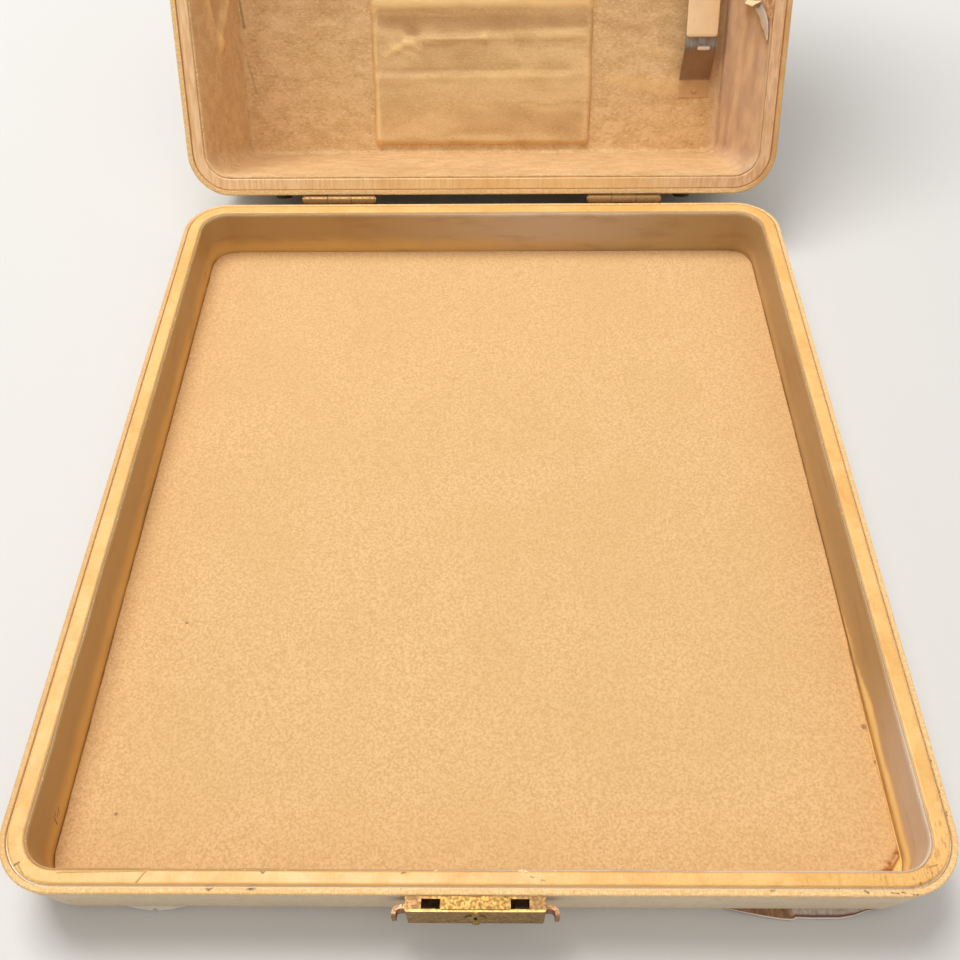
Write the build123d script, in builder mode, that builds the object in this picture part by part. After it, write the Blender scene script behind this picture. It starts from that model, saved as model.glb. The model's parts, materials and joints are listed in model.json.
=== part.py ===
from build123d import *
import math
import os

os.makedirs("parts", exist_ok=True)

# The case is drawn closed, lid on base, and the lid's pieces are swung open before they are written.
# Sizes are in millimetres. X runs to the right, Y to the hinges at the rear, Z up from the base's underside.

# Outer form
case_width = 368.0
case_depth = 415.0
base_height = 38.0
lid_height = 102.0
closing_gap = 0.3
plan_corner = 25.0
base_draft = 6.5
lid_draft = 4.5
base_edge_radius = 8.0
lid_edge_radius = 10.0
lip_edge_radius = 0.8

# Walls, frames and linings
base_shell_wall = 2.4
lid_shell_wall = 3.0
base_floor = 4.0
lid_top_wall = 4.0
rim_width = 9.9
front_rim_trim = 1.4
ridge_height = 0.8
ridge_clearance = 0.4
ridge_round = 0.9
groove_depth = 1.2
glue_gap = 0.1
wall_lining = 0.8
base_lining_margin = 0.6
lid_lining_margin = 1.0
floor_board = 3.0
floor_board_gap = 0.4
floor_lining = 2.0
floor_lining_margin = 1.2
ceiling_lining = 1.2
centre_panel_width = 152.0
centre_panel_thickness = 2.2
centre_panel_margin = 6.0
centre_panel_round = 1.0

# Hinges
hinge_spacing = 180.0
hinge_length = 45.0
hinge_offset = 3.2
knuckle_radius = 3.0
lid_knuckle_length = 15.0
knuckle_gap = 0.3
pin_radius = 1.5
pin_head_radius = 2.3
pin_head_height = 0.8
running_gap = 0.05
leaf_thickness = 1.2
leaf_reach = 20.0
leaf_corner = 3.0
leaf_top_gap = 0.4
leaf_rivet_spread = 30.0
leaf_rivet_drop = 13.0

# Rivets
rivet_shank = 1.4
rivet_head = 2.6
rivet_head_height = 1.1
rivet_depth = 2.0
small_rivet_shank = 1.1
small_rivet_head = 1.9
small_rivet_head_height = 0.8
rivet_head_bevel = 35.0

# Rear feet
foot_side_margin = 48.0
foot_radius = 7.0
foot_draft = 8.0
foot_edge_radius = 1.4
foot_reach = 7.0
base_foot_height = 19.0
lid_foot_height = 52.0

# Lock on the base's front
lock_width = 52.0
lock_height = 17.0
lock_depth = 5.4
lock_top_drop = 1.0
lock_sheet = 1.0
lock_corner = 0.8
lock_fit = 0.1
back_plate = 0.8
lock_seat_margin = 1.0
seat_depth = 2.3
low_rivet_gap = 0.6
high_rivet_gap = 0.4
window_inner = 13.0
window_width = 7.0
window_depth = 3.5
window_back_margin = 0.1
cover_height = 0.6
cover_margin = 0.5
cover_notch_width = 2.6
cover_notch_depth = 0.9

# Catches
catch_thickness = 1.6
catch_travel = 2.2
catch_clearance = 0.5
catch_lift = 0.8
catch_bar_height = 5.4
catch_riser_height = 14.0
catch_outer_riser_width = 3.3
catch_outer_riser_height = 12.4
nose_reach = 1.8
nose_bottom = 11.0
nose_height = 3.2
nose_tip = 0.8
tab_height = 7.0
tab_bottom = 5.1
tab_reach = 4.4
tab_bend_radius = 2.2
tab_bend_angle = 90.0
tab_pad = 1.6
tab_corner = 1.4
tab_slot_gap = 0.35
spring_slot_inner = 12.0
spring_slot_outer = 20.6
spring_slot_bottom = 2.0
spring_slot_height = 3.0
lug_inner = 12.4
lug_width = 1.0
lug_gap = 0.2
spring_radius = 1.0
spring_wire = 0.22
spring_turns = 5
spring_wire_sides = 6

# Key plug
plug_radius = 4.0
plug_shaft = 3.2
plug_flange = 4.7
plug_flange_thickness = 0.7
plug_proud = 0.5
plug_height = 8.5
cam_length = 9.4
cam_width = 5.4
cam_thickness = 1.4
keyway_width = 1.2
keyway_length = 4.6
keyway_depth = 2.0

# Hasp on the lid's front
hasp_width = 48.0
hasp_height = 16.0
hasp_lift = 1.0
hasp_thickness = 1.2
hasp_corner = 2.0
hasp_rivet_spread = 40.0
hasp_rivet_height = 12.2
hook_thickness = 2.0
hook_side_gap = 0.6
hook_width = 5.2
hook_root = 9.0
hook_reach = 10.6
hook_notch_depth = 1.6
hook_notch_play = 0.4
hook_bevel = 1.0

# Handle on the lid's front
handle_height = 55.0
handle_pivot_spacing = 110.0
handle_pivot_reach = 7.5
handle_thickness = 11.0
handle_arm = 14.0
handle_bar = 14.0
handle_drop = 22.0
handle_corner = 18.0
handle_inner_corner = 9.0
handle_edge_radius = 4.5
handle_wall_gap = 0.3
handle_pin_radius = 2.0
handle_pin_head = 3.2
handle_pin_head_height = 1.0
bracket_sheet = 1.5
bracket_ear_gap = 0.3
bracket_ear_radius = 5.0
bracket_width = 34.0
bracket_height = 16.0
bracket_corner = 3.0
bracket_rivet_gap = 0.4

# Hold-down spring inside the lid
strap_width = 21.0
strap_side_margin = 36.0
spring_strip = 1.2
strip_foot_start = 55.0
strip_leg_start = 67.0
strip_bend = 87.0
strip_top_run = 92.0
strip_rise = 14.0
strip_bend_radius = 4.0
strap_thickness = 1.6
strap_start = 6.0
strap_corner = 2.0
strap_rivet_inset = 3.4
foot_rivet_inset = 5.0

# Heights and planes that follow from the sizes above
lid_lip = base_height + closing_gap
lid_top = lid_lip + lid_height
ceiling = lid_top - lid_top_wall
ceiling_face = ceiling - glue_gap - ceiling_lining
floor_top = base_floor + floor_board + floor_lining + 2 * glue_gap
base_frame_outer = base_shell_wall + glue_gap
lid_frame_outer = lid_shell_wall + glue_gap
ridge_outer = lid_shell_wall + ridge_clearance
lining_inner = rim_width + glue_gap + wall_lining
hinge_y = case_depth / 2 + hinge_offset
hinge_z = base_height + closing_gap / 2
lock_top = base_height - lock_top_drop
lock_bottom = lock_top - lock_height
front_face = Plane(origin=(0, -case_depth / 2, 0), x_dir=(1, 0, 0), z_dir=(0, -1, 0))
base_slope = math.radians(base_draft)
lid_slope = math.radians(lid_draft)


def base_inset(z):
    """How far the base's outer face lies inside its lip at height z."""
    return (base_height - z) * math.tan(base_slope)


def lid_inset(z):
    """How far the lid's outer face lies inside its lip at height z."""
    return (z - lid_lip) * math.tan(lid_slope)


def outline(inset):
    """Width, depth and corner radius of the case's plan, moved inward."""
    return case_width - 2 * inset, case_depth - 2 * inset, plan_corner - inset


def base_inside(inset):
    """The same for what lies inside the base's rim, which is thinner at the front."""
    width, depth, corner = outline(inset)
    return width, depth + front_rim_trim, corner


def base_rear_wall(z):
    """Plane on the base's rear face, its local y running down the wall from height z."""
    origin = (0, case_depth / 2 - base_inset(z), z)
    return Plane(origin=origin, x_dir=(1, 0, 0), z_dir=(0, math.cos(base_slope), -math.sin(base_slope)))


def lid_rear_wall(z):
    """Plane on the lid's rear face, its local y running up the wall from height z."""
    origin = (0, case_depth / 2 - lid_inset(z), z)
    return Plane(origin=origin, x_dir=(-1, 0, 0), z_dir=(0, math.cos(lid_slope), math.sin(lid_slope)))


def lid_front_wall(z):
    """Plane on the lid's front face, its local y running up the wall from height z."""
    origin = (0, lid_inset(z) - case_depth / 2, z)
    return Plane(origin=origin, x_dir=(1, 0, 0), z_dir=(0, -math.cos(lid_slope), math.sin(lid_slope)))


def open_angle_at_table():
    """Angle at which the lid's rounded rear edge comes down to the table."""
    rise = lid_height - lid_edge_radius - closing_gap / 2
    back = hinge_offset + rise * math.tan(lid_slope) + lid_edge_radius / math.cos(lid_slope)
    reach = math.hypot(rise, back)
    drop = lid_edge_radius - hinge_z + closing_gap
    return math.degrees(math.atan2(back, rise) + math.acos(drop / reach))


lid_open_angle = open_angle_at_table()
lid_axis = Axis((0, hinge_y, hinge_z), (1, 0, 0))
print("lid opens by", round(lid_open_angle, 3), "degrees about y", hinge_y, "z", hinge_z)

pieces = {}


def keep(name, piece):
    """Label a finished piece and hold it for writing."""
    piece.label = name
    pieces[name] = piece


def keep_open(name, piece):
    """Swing a piece of the lid open, then keep it."""
    keep(name, piece.rotate(lid_axis, -lid_open_angle))


# Base shell
leaf_rivets = [
    (-leaf_rivet_spread / 2, leaf_rivet_drop),
    (leaf_rivet_spread / 2, leaf_rivet_drop),
]
hinge_centres = [-hinge_spacing / 2, hinge_spacing / 2]
all_leaf_rivets = [(centre + x, y) for centre in hinge_centres for x, y in leaf_rivets]
lock_rivet_spots = [
    (0, lock_bottom + plug_height - plug_flange - small_rivet_shank - low_rivet_gap),
    (0, lock_bottom + plug_height + plug_flange + small_rivet_shank + high_rivet_gap),
]

with BuildPart() as base_shell:
    with BuildSketch(Plane.XY):
        RectangleRounded(*outline(base_inset(0)))
    extrude(amount=base_height, taper=-base_draft)
    fillet(base_shell.faces().sort_by(Axis.Z)[0].edges(), base_edge_radius)
    with BuildSketch(Plane.XY.offset(base_floor)):
        RectangleRounded(*outline(base_inset(base_floor) + base_shell_wall))
    extrude(amount=base_height - base_floor, taper=-base_draft, mode=Mode.SUBTRACT)
    lip = base_shell.faces().sort_by(Axis.Z)[-1]
    fillet(lip.outer_wire().edges(), lip_edge_radius)
    with BuildSketch(front_face.offset(-seat_depth)):
        with Locations((0, (lock_top + lock_bottom) / 2)):
            Rectangle(lock_width + lock_seat_margin, lock_height)
    extrude(amount=seat_depth)
    with BuildSketch(front_face):
        with Locations(*lock_rivet_spots):
            Circle(small_rivet_shank + running_gap)
    extrude(amount=-rivet_depth, mode=Mode.SUBTRACT)
    with BuildSketch(base_rear_wall(base_height)):
        with Locations(*all_leaf_rivets):
            Circle(rivet_shank + running_gap)
    extrude(amount=-rivet_depth, mode=Mode.SUBTRACT)
keep("base_shell", base_shell.part)

# Base wall frame, drafted outside and upright inside, with the ridge that enters the lid
inside_middle = (0, -front_rim_trim / 2)
with BuildPart() as base_wall_frame:
    with BuildSketch(Plane.XY.offset(base_floor + glue_gap)):
        RectangleRounded(*outline(base_inset(base_floor + glue_gap) + base_frame_outer))
    extrude(amount=base_height - groove_depth - base_floor - glue_gap, taper=-base_draft)
    with BuildSketch(Plane.XY.offset(base_height - groove_depth)):
        RectangleRounded(*outline(ridge_outer))
    extrude(amount=groove_depth + ridge_height)
    with BuildSketch(Plane.XY.offset(base_floor)):
        with Locations(inside_middle):
            RectangleRounded(*base_inside(rim_width))
    extrude(amount=base_height + ridge_height, mode=Mode.SUBTRACT)
    fillet(base_wall_frame.faces().sort_by(Axis.Z)[-1].edges(), ridge_round)
keep("base_wall_frame", base_wall_frame.part)

# Base wall lining
with BuildPart() as base_wall_lining:
    with BuildSketch(Plane.XY.offset(base_floor + glue_gap)):
        with Locations(inside_middle):
            RectangleRounded(*base_inside(rim_width + glue_gap))
    extrude(amount=base_height - base_floor - base_lining_margin)
    with BuildSketch(Plane.XY.offset(base_floor)):
        with Locations(inside_middle):
            RectangleRounded(*base_inside(lining_inner))
    extrude(amount=base_height, mode=Mode.SUBTRACT)
keep("base_wall_lining", base_wall_lining.part)

# Floor board and the felt on it
board_inset = lining_inner + floor_board_gap
with BuildPart() as base_floor_board:
    with BuildSketch(Plane.XY.offset(base_floor + glue_gap)):
        with Locations(inside_middle):
            RectangleRounded(*base_inside(board_inset))
    extrude(amount=floor_board)
keep("base_floor_board", base_floor_board.part)

with BuildPart() as base_floor_lining:
    with BuildSketch(Plane.XY.offset(floor_top - floor_lining)):
        with Locations(inside_middle):
            RectangleRounded(*base_inside(board_inset + floor_lining_margin))
    extrude(amount=floor_lining)
    fillet(base_floor_lining.faces().sort_by(Axis.Z)[-1].edges(), floor_lining / 2)
keep("base_floor_lining", base_floor_lining.part)

# Lid shell
hasp_bottom = lid_lip + hasp_lift
hasp_rivet_spots = [
    (-hasp_rivet_spread / 2, hasp_bottom + hasp_rivet_height),
    (hasp_rivet_spread / 2, hasp_bottom + hasp_rivet_height),
]
bracket_centres = [-handle_pivot_spacing / 2, handle_pivot_spacing / 2]
bracket_rivet_offset = handle_arm / 2 + bracket_ear_gap + bracket_sheet + rivet_head + bracket_rivet_gap
bracket_rivets = [
    (centre + side * bracket_rivet_offset, 0) for centre in bracket_centres for side in (-1, 1)
]
handle_z = lid_lip + handle_height

with BuildPart() as lid_shell:
    with BuildSketch(Plane.XY.offset(lid_lip)):
        RectangleRounded(*outline(0))
    extrude(amount=lid_height, taper=lid_draft)
    fillet(lid_shell.faces().sort_by(Axis.Z)[-1].edges(), lid_edge_radius)
    with BuildSketch(Plane.XY.offset(lid_lip)):
        RectangleRounded(*outline(lid_shell_wall))
    extrude(amount=ceiling - lid_lip, taper=lid_draft, mode=Mode.SUBTRACT)
    lip = lid_shell.faces().sort_by(Axis.Z)[0]
    fillet(lip.outer_wire().edges(), lip_edge_radius)
    with BuildSketch(front_face.offset(-seat_depth)):
        with Locations((0, hasp_bottom + hasp_height / 2)):
            Rectangle(hasp_width + lock_seat_margin, hasp_height)
    extrude(amount=seat_depth)
    with BuildSketch(front_face):
        with Locations(*hasp_rivet_spots):
            Circle(rivet_shank + running_gap)
    extrude(amount=-rivet_depth, mode=Mode.SUBTRACT)
    with BuildSketch(lid_front_wall(handle_z)):
        with Locations(*bracket_rivets):
            Circle(rivet_shank + running_gap)
    extrude(amount=-rivet_depth, mode=Mode.SUBTRACT)
    with BuildSketch(lid_rear_wall(lid_lip)):
        with Locations(*all_leaf_rivets):
            Circle(rivet_shank + running_gap)
    extrude(amount=-rivet_depth, mode=Mode.SUBTRACT)
keep_open("lid_shell", lid_shell.part)

# Lid wall frame, set back from the lip so that the ridge has room
lid_frame_bottom = lid_lip + ridge_height + ridge_clearance
with BuildPart() as lid_wall_frame:
    with BuildSketch(Plane.XY.offset(lid_frame_bottom)):
        RectangleRounded(*outline(lid_inset(lid_frame_bottom) + lid_frame_outer))
    extrude(amount=ceiling - glue_gap - lid_frame_bottom, taper=lid_draft)
    with BuildSketch(Plane.XY.offset(lid_frame_bottom)):
        RectangleRounded(*outline(lid_inset(lid_frame_bottom) + rim_width))
    extrude(amount=lid_height, taper=lid_draft, mode=Mode.SUBTRACT)
    fillet(lid_wall_frame.faces().sort_by(Axis.Z)[0].edges(), lip_edge_radius)
keep_open("lid_wall_frame", lid_wall_frame.part)

# Lid linings
lid_lining_bottom = lid_frame_bottom + lid_lining_margin
with BuildPart() as lid_wall_lining:
    with BuildSketch(Plane.XY.offset(lid_lining_bottom)):
        RectangleRounded(*outline(lid_inset(lid_lining_bottom) + rim_width + glue_gap))
    extrude(amount=ceiling_face - glue_gap - lid_lining_bottom, taper=lid_draft)
    with BuildSketch(Plane.XY.offset(lid_lining_bottom)):
        RectangleRounded(*outline(lid_inset(lid_lining_bottom) + lining_inner))
    extrude(amount=lid_height, taper=lid_draft, mode=Mode.SUBTRACT)
keep_open("lid_wall_lining", lid_wall_lining.part)

with BuildPart() as lid_ceiling_lining:
    with BuildSketch(Plane.XY.offset(ceiling_face)):
        RectangleRounded(*outline(lid_inset(ceiling) + rim_width + glue_gap))
    extrude(amount=ceiling_lining)
keep_open("lid_ceiling_lining", lid_ceiling_lining.part)

panel_length = case_depth - 2 * (lid_inset(ceiling) + lining_inner + centre_panel_margin)
with BuildPart() as lid_centre_panel:
    with BuildSketch(Plane.XY.offset(ceiling_face - glue_gap - centre_panel_thickness)):
        Rectangle(centre_panel_width, panel_length)
    extrude(amount=centre_panel_thickness)
    fillet(lid_centre_panel.faces().sort_by(Axis.Z)[0].edges(), centre_panel_round)
keep_open("lid_centre_panel", lid_centre_panel.part)

# Hold-down spring, its cover strap and their rivets
rear_edge = case_depth / 2
strap_centre = case_width / 2 - strap_side_margin
strip_high = ceiling_face - glue_gap - spring_strip / 2
strip_low = strip_high - strip_rise
strip_far_bend = strip_bend + strip_top_run
strip_leg_run = strip_bend - strip_leg_start
strip_foot = strip_leg_start - strip_foot_start
strip_stations = [
    (strip_foot_start, strip_high),
    (strip_leg_start, strip_high),
    (strip_bend, strip_low),
    (strip_far_bend, strip_low),
    (strip_far_bend + strip_leg_run, strip_high),
    (strip_far_bend + strip_leg_run + strip_foot, strip_high),
]
foot_rivet_stations = [
    strip_foot_start + foot_rivet_inset,
    strip_far_bend + strip_leg_run + strip_foot - foot_rivet_inset,
]
strap_rivet_stations = [strip_bend + strap_rivet_inset, strip_far_bend - strap_rivet_inset]

with BuildPart() as hold_down_spring:
    with BuildLine(Plane.YZ.offset(strap_centre)) as strip_path:
        FilletPolyline(*[(rear_edge - t, z) for t, z in strip_stations], radius=strip_bend_radius)
    with BuildSketch(Plane(origin=strip_path.line @ 0, x_dir=(1, 0, 0), z_dir=(0, -1, 0))):
        Rectangle(strap_width, spring_strip)
    sweep(path=strip_path.line)
    with BuildSketch(Plane.XY.offset(ceiling_face)):
        with Locations(*[(strap_centre, rear_edge - t) for t in foot_rivet_stations]):
            Circle(small_rivet_shank + running_gap)
        with Locations(*[(strap_centre, rear_edge - t) for t in strap_rivet_stations]):
            Circle(small_rivet_shank + running_gap)
    extrude(amount=-strip_rise - 2 * spring_strip, mode=Mode.SUBTRACT)
keep_open("hold_down_spring", hold_down_spring.part)

strap_length = strip_top_run - 2 * strap_start
with BuildPart() as hold_down_strap:
    with BuildSketch(Plane.XY.offset(strip_low - spring_strip / 2 - strap_thickness)):
        with Locations((strap_centre, rear_edge - strip_bend - strip_top_run / 2)):
            RectangleRounded(strap_width, strap_length, strap_corner)
    extrude(amount=strap_thickness)
keep_open("hold_down_strap", hold_down_strap.part)

with BuildPart() as hold_down_rivets:
    with BuildSketch(Plane.XY.offset(strip_high - spring_strip / 2)):
        with Locations(*[(strap_centre, rear_edge - t) for t in foot_rivet_stations]):
            Circle(small_rivet_shank)
    extrude(amount=spring_strip)
    with BuildSketch(Plane.XY.offset(strip_high - spring_strip / 2)):
        with Locations(*[(strap_centre, rear_edge - t) for t in foot_rivet_stations]):
            Circle(small_rivet_head)
    extrude(amount=-small_rivet_head_height)
    with BuildSketch(Plane.XY.offset(strip_low - spring_strip / 2)):
        with Locations(*[(strap_centre, rear_edge - t) for t in strap_rivet_stations]):
            Circle(small_rivet_shank)
    extrude(amount=spring_strip)
    with BuildSketch(Plane.XY.offset(strip_low - spring_strip / 2)):
        with Locations(*[(strap_centre, rear_edge - t) for t in strap_rivet_stations]):
            Circle(small_rivet_head)
    extrude(amount=-small_rivet_head_height)
keep_open("hold_down_rivets", hold_down_rivets.part)


# Hinges
def knuckle_spans(centre):
    """Spans along X of the two base knuckles and the lid knuckle between them."""
    half = hinge_length / 2
    inner = lid_knuckle_length / 2
    left_span = (centre - half, centre - inner - knuckle_gap)
    right_span = (centre + inner + knuckle_gap, centre + half)
    return [left_span, right_span], [(centre - inner, centre + inner)]


def make_leaf(wall, centre, own_spans, other_spans):
    """One hinge leaf on its wall, with its knuckles and room for the other leaf's."""
    with BuildPart() as leaf:
        with BuildSketch(wall):
            with Locations((wall.x_dir.X * centre, leaf_top_gap + (leaf_reach - leaf_top_gap) / 2)):
                RectangleRounded(hinge_length, leaf_reach - leaf_top_gap, leaf_corner)
        extrude(amount=leaf_thickness)
        for start, end in other_spans:
            with BuildSketch(Plane.YZ.offset(start - knuckle_gap)):
                with Locations((hinge_y, hinge_z)):
                    Circle(knuckle_radius + knuckle_gap)
            extrude(amount=end - start + 2 * knuckle_gap, mode=Mode.SUBTRACT)
        for start, end in own_spans:
            with BuildSketch(Plane.YZ.offset(start)):
                with Locations((hinge_y, hinge_z)):
                    Circle(knuckle_radius)
            extrude(amount=end - start)
        with BuildSketch(Plane.YZ.offset(centre - hinge_length / 2)):
            with Locations((hinge_y, hinge_z)):
                Circle(pin_radius + running_gap)
        extrude(amount=hinge_length, mode=Mode.SUBTRACT)
        with BuildSketch(wall):
            with Locations(*[(wall.x_dir.X * centre + x, y) for x, y in leaf_rivets]):
                Circle(rivet_shank + running_gap)
        extrude(amount=leaf_thickness, mode=Mode.SUBTRACT)
    return leaf.part


def make_hinge_pin(centre):
    """A straight pin with a flat head at each end."""
    with BuildPart() as pin:
        with BuildSketch(Plane.YZ.offset(centre - hinge_length / 2 - running_gap)):
            with Locations((hinge_y, hinge_z)):
                Circle(pin_radius)
        extrude(amount=hinge_length + 2 * running_gap)
        with BuildSketch(Plane.YZ.offset(centre - hinge_length / 2 - running_gap)):
            with Locations((hinge_y, hinge_z)):
                Circle(pin_head_radius)
        extrude(amount=-pin_head_height)
        with BuildSketch(Plane.YZ.offset(centre + hinge_length / 2 + running_gap)):
            with Locations((hinge_y, hinge_z)):
                Circle(pin_head_radius)
        extrude(amount=pin_head_height)
    return pin.part


for side, centre in zip(("left", "right"), hinge_centres):
    base_spans, lid_spans = knuckle_spans(centre)
    keep(side + "_hinge_base_leaf", make_leaf(base_rear_wall(base_height), centre, base_spans, lid_spans))
    keep_open(side + "_hinge_lid_leaf", make_leaf(lid_rear_wall(lid_lip), centre, lid_spans, base_spans))
    keep(side + "_hinge_pin", make_hinge_pin(centre))


def make_rivets(wall, spots, seat, depth, shank_radius, head_radius, head_height):
    """Rivets whose bevelled heads sit at seat above the wall and whose shanks go into it."""
    with BuildPart() as rivets:
        with BuildSketch(wall.offset(seat)):
            with Locations(*spots):
                Circle(head_radius)
        extrude(amount=head_height, taper=rivet_head_bevel)
        with BuildSketch(wall.offset(seat)):
            with Locations(*spots):
                Circle(shank_radius)
        extrude(amount=-seat - depth)
    return rivets.part


large_rivet = (rivet_shank, rivet_head, rivet_head_height)
small_rivet = (small_rivet_shank, small_rivet_head, small_rivet_head_height)
shank_depth = rivet_depth - closing_gap
base_rivets = make_rivets(
    base_rear_wall(base_height), all_leaf_rivets, leaf_thickness, shank_depth, *large_rivet
)
keep("base_hinge_rivets", base_rivets)
lid_rivets = make_rivets(lid_rear_wall(lid_lip), all_leaf_rivets, leaf_thickness, shank_depth, *large_rivet)
keep_open("lid_hinge_rivets", lid_rivets)


# Rear feet
def make_feet(wall, reach):
    """Two studs on a rear wall, ending in one plane with the other half's."""
    with BuildPart() as feet:
        with BuildSketch(wall):
            with GridLocations(case_width - 2 * foot_side_margin, 0, 2, 1):
                Circle(foot_radius)
        extrude(amount=reach, taper=foot_draft)
        foot_ends = feet.faces().sort_by(Axis(wall.origin, wall.z_dir))[-2:]
        fillet(foot_ends.edges(), foot_edge_radius)
    return feet.part


base_foot_reach = (foot_reach + base_inset(base_foot_height)) / math.cos(base_slope)
lid_foot_z = lid_lip + lid_foot_height
lid_foot_reach = (foot_reach + lid_inset(lid_foot_z)) / math.cos(lid_slope)
keep("base_rear_feet", make_feet(base_rear_wall(base_foot_height), base_foot_reach))
keep_open("lid_rear_feet", make_feet(lid_rear_wall(lid_foot_z), lid_foot_reach))

# Lock housing: folded sheet, open at the back and below, with two windows in its top
lock_half = lock_width / 2
lock_middle = (lock_top + lock_bottom) / 2
plug_z = lock_bottom + plug_height
catch_back = (lock_depth - lock_sheet + back_plate - catch_thickness) / 2
tab_middle = lock_bottom + catch_lift + tab_bottom + tab_height / 2
window_centre = window_inner + window_width / 2

with BuildPart() as lock_housing:
    with BuildSketch(front_face):
        with Locations((0, lock_middle)):
            Rectangle(lock_width, lock_height)
    extrude(amount=lock_depth)
    front_corners = lock_housing.faces().sort_by(Axis.Y)[0].edges().filter_by(Axis.Z)
    fillet(front_corners, lock_corner)
    with BuildSketch(front_face):
        with Locations((0, lock_middle - lock_sheet)):
            Rectangle(lock_width - 2 * lock_sheet, lock_height)
    extrude(amount=lock_depth - lock_sheet, mode=Mode.SUBTRACT)
    window_y = -case_depth / 2 - back_plate - window_back_margin - window_depth / 2
    with BuildSketch(Plane.XY.offset(lock_top)):
        with Locations((-window_centre, window_y), (window_centre, window_y)):
            Rectangle(window_width, window_depth)
    extrude(amount=-lock_sheet, mode=Mode.SUBTRACT)
    with BuildSketch(Plane.YZ.offset(-lock_half)):
        with Locations((-case_depth / 2 - catch_back - catch_thickness / 2, tab_middle)):
            Rectangle(catch_thickness + 2 * tab_slot_gap, tab_height + 2 * tab_slot_gap)
    extrude(amount=lock_width, mode=Mode.SUBTRACT)
    with BuildSketch(front_face.offset(lock_depth - lock_sheet)):
        with Locations((0, plug_z)):
            Circle(plug_radius + running_gap)
        with Locations(*lock_rivet_spots):
            Circle(small_rivet_shank + running_gap)
    extrude(amount=lock_sheet, mode=Mode.SUBTRACT)
keep("lock_housing", lock_housing.part)

# Plate behind the lock, with a lug for each spring
lug_bottom = lock_bottom + catch_lift + spring_slot_bottom + lug_gap
lug_height = spring_slot_height - 2 * lug_gap
with BuildPart() as lock_back_plate:
    with BuildSketch(front_face):
        with Locations((0, lock_middle - lock_sheet / 2)):
            Rectangle(lock_width - 2 * lock_sheet - 2 * lock_fit, lock_height - lock_sheet - 2 * lock_fit)
    extrude(amount=back_plate)
    with BuildSketch(front_face):
        for side in (-1, 1):
            with Locations((side * (lug_inner + lug_width / 2), lug_bottom + lug_height / 2)):
                Rectangle(lug_width, lug_height)
    extrude(amount=catch_back + catch_thickness)
    with BuildSketch(front_face):
        with Locations(*lock_rivet_spots):
            Circle(small_rivet_shank + running_gap)
    extrude(amount=back_plate, mode=Mode.SUBTRACT)
keep("lock_back_plate", lock_back_plate.part)

# Raised plate between the windows
with BuildPart() as lock_cover_plate:
    with BuildSketch(Plane.XY.offset(lock_top)):
        with Locations((0, window_y)):
            Rectangle(2 * (window_inner - cover_margin), window_depth + cover_margin)
        with Locations((0, window_y + (window_depth + cover_margin - cover_notch_depth) / 2)):
            Rectangle(cover_notch_width, cover_notch_depth, mode=Mode.SUBTRACT)
    extrude(amount=cover_height)
keep("lock_cover_plate", lock_cover_plate.part)

# Catches: a bent plate that carries the nose, passes under the hook and ends in the finger tab
bar_bottom = lock_bottom + catch_lift
catch_riser_inner = plug_flange + catch_travel + catch_clearance
riser_outer = lock_half - lock_sheet - lock_fit
nose_x = window_inner
nose_z = lock_bottom + nose_bottom
with BuildPart() as right_catch:
    with BuildSketch(front_face.offset(catch_back)):
        with BuildLine():
            Polyline(
                (catch_riser_inner, bar_bottom),
                (riser_outer, bar_bottom),
                (riser_outer, bar_bottom + catch_outer_riser_height),
                (riser_outer - catch_outer_riser_width, bar_bottom + catch_outer_riser_height),
                (riser_outer - catch_outer_riser_width, bar_bottom + catch_bar_height),
                (nose_x, bar_bottom + catch_bar_height),
                (nose_x, nose_z),
                (nose_x + nose_reach, nose_z),
                (nose_x + nose_reach, nose_z + nose_tip),
                (nose_x, nose_z + nose_height),
                (nose_x, bar_bottom + catch_riser_height),
                (catch_riser_inner, bar_bottom + catch_riser_height),
                close=True,
            )
        make_face()
        with Locations(
            (
                (spring_slot_inner + spring_slot_outer) / 2,
                bar_bottom + spring_slot_bottom + spring_slot_height / 2,
            )
        ):
            Rectangle(spring_slot_outer - spring_slot_inner, spring_slot_height, mode=Mode.SUBTRACT)
    extrude(amount=catch_thickness)
    tab_y = -case_depth / 2 - catch_back - catch_thickness / 2
    with BuildLine() as tab_path:
        tab_run = Line(
            (riser_outer - catch_outer_riser_width / 2, tab_y, tab_middle),
            (lock_half + tab_reach - tab_bend_radius, tab_y, tab_middle),
        )
        tab_bend = JernArc(
            start=tab_run @ 1, tangent=tab_run % 1, radius=tab_bend_radius, arc_size=-tab_bend_angle
        )
        Line(tab_bend @ 1, tab_bend @ 1 + (tab_bend % 1) * tab_pad)
    with BuildSketch(Plane(origin=tab_path.line @ 0, x_dir=(0, 1, 0), z_dir=(1, 0, 0))):
        Rectangle(catch_thickness, tab_height)
    sweep(path=tab_path.line)
    tab_end = right_catch.faces().sort_by(Axis.Y)[0].edges().filter_by(Axis.X)
    fillet(tab_end, tab_corner)
keep("right_catch", right_catch.part)

with BuildPart() as left_catch:
    mirror(right_catch.part, about=Plane.YZ)
keep("left_catch", left_catch.part)

# Catch springs, each coiled between its lug and the far end of the slot
spring_start = lug_inner + lug_width + lug_gap + spring_wire
spring_length = spring_slot_outer - lug_gap - spring_wire - spring_start
spring_z = bar_bottom + spring_slot_bottom + spring_slot_height / 2
with BuildPart() as right_catch_spring:
    with BuildLine() as coil:
        Helix(
            pitch=spring_length / spring_turns,
            height=spring_length,
            radius=spring_radius,
            center=(spring_start, tab_y, spring_z),
            direction=(1, 0, 0),
        )
    with BuildSketch(Plane(origin=coil.line @ 0, z_dir=coil.line % 0)):
        RegularPolygon(spring_wire, spring_wire_sides)
    sweep(path=coil.line, is_frenet=True)
keep("right_catch_spring", right_catch_spring.part)

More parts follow.
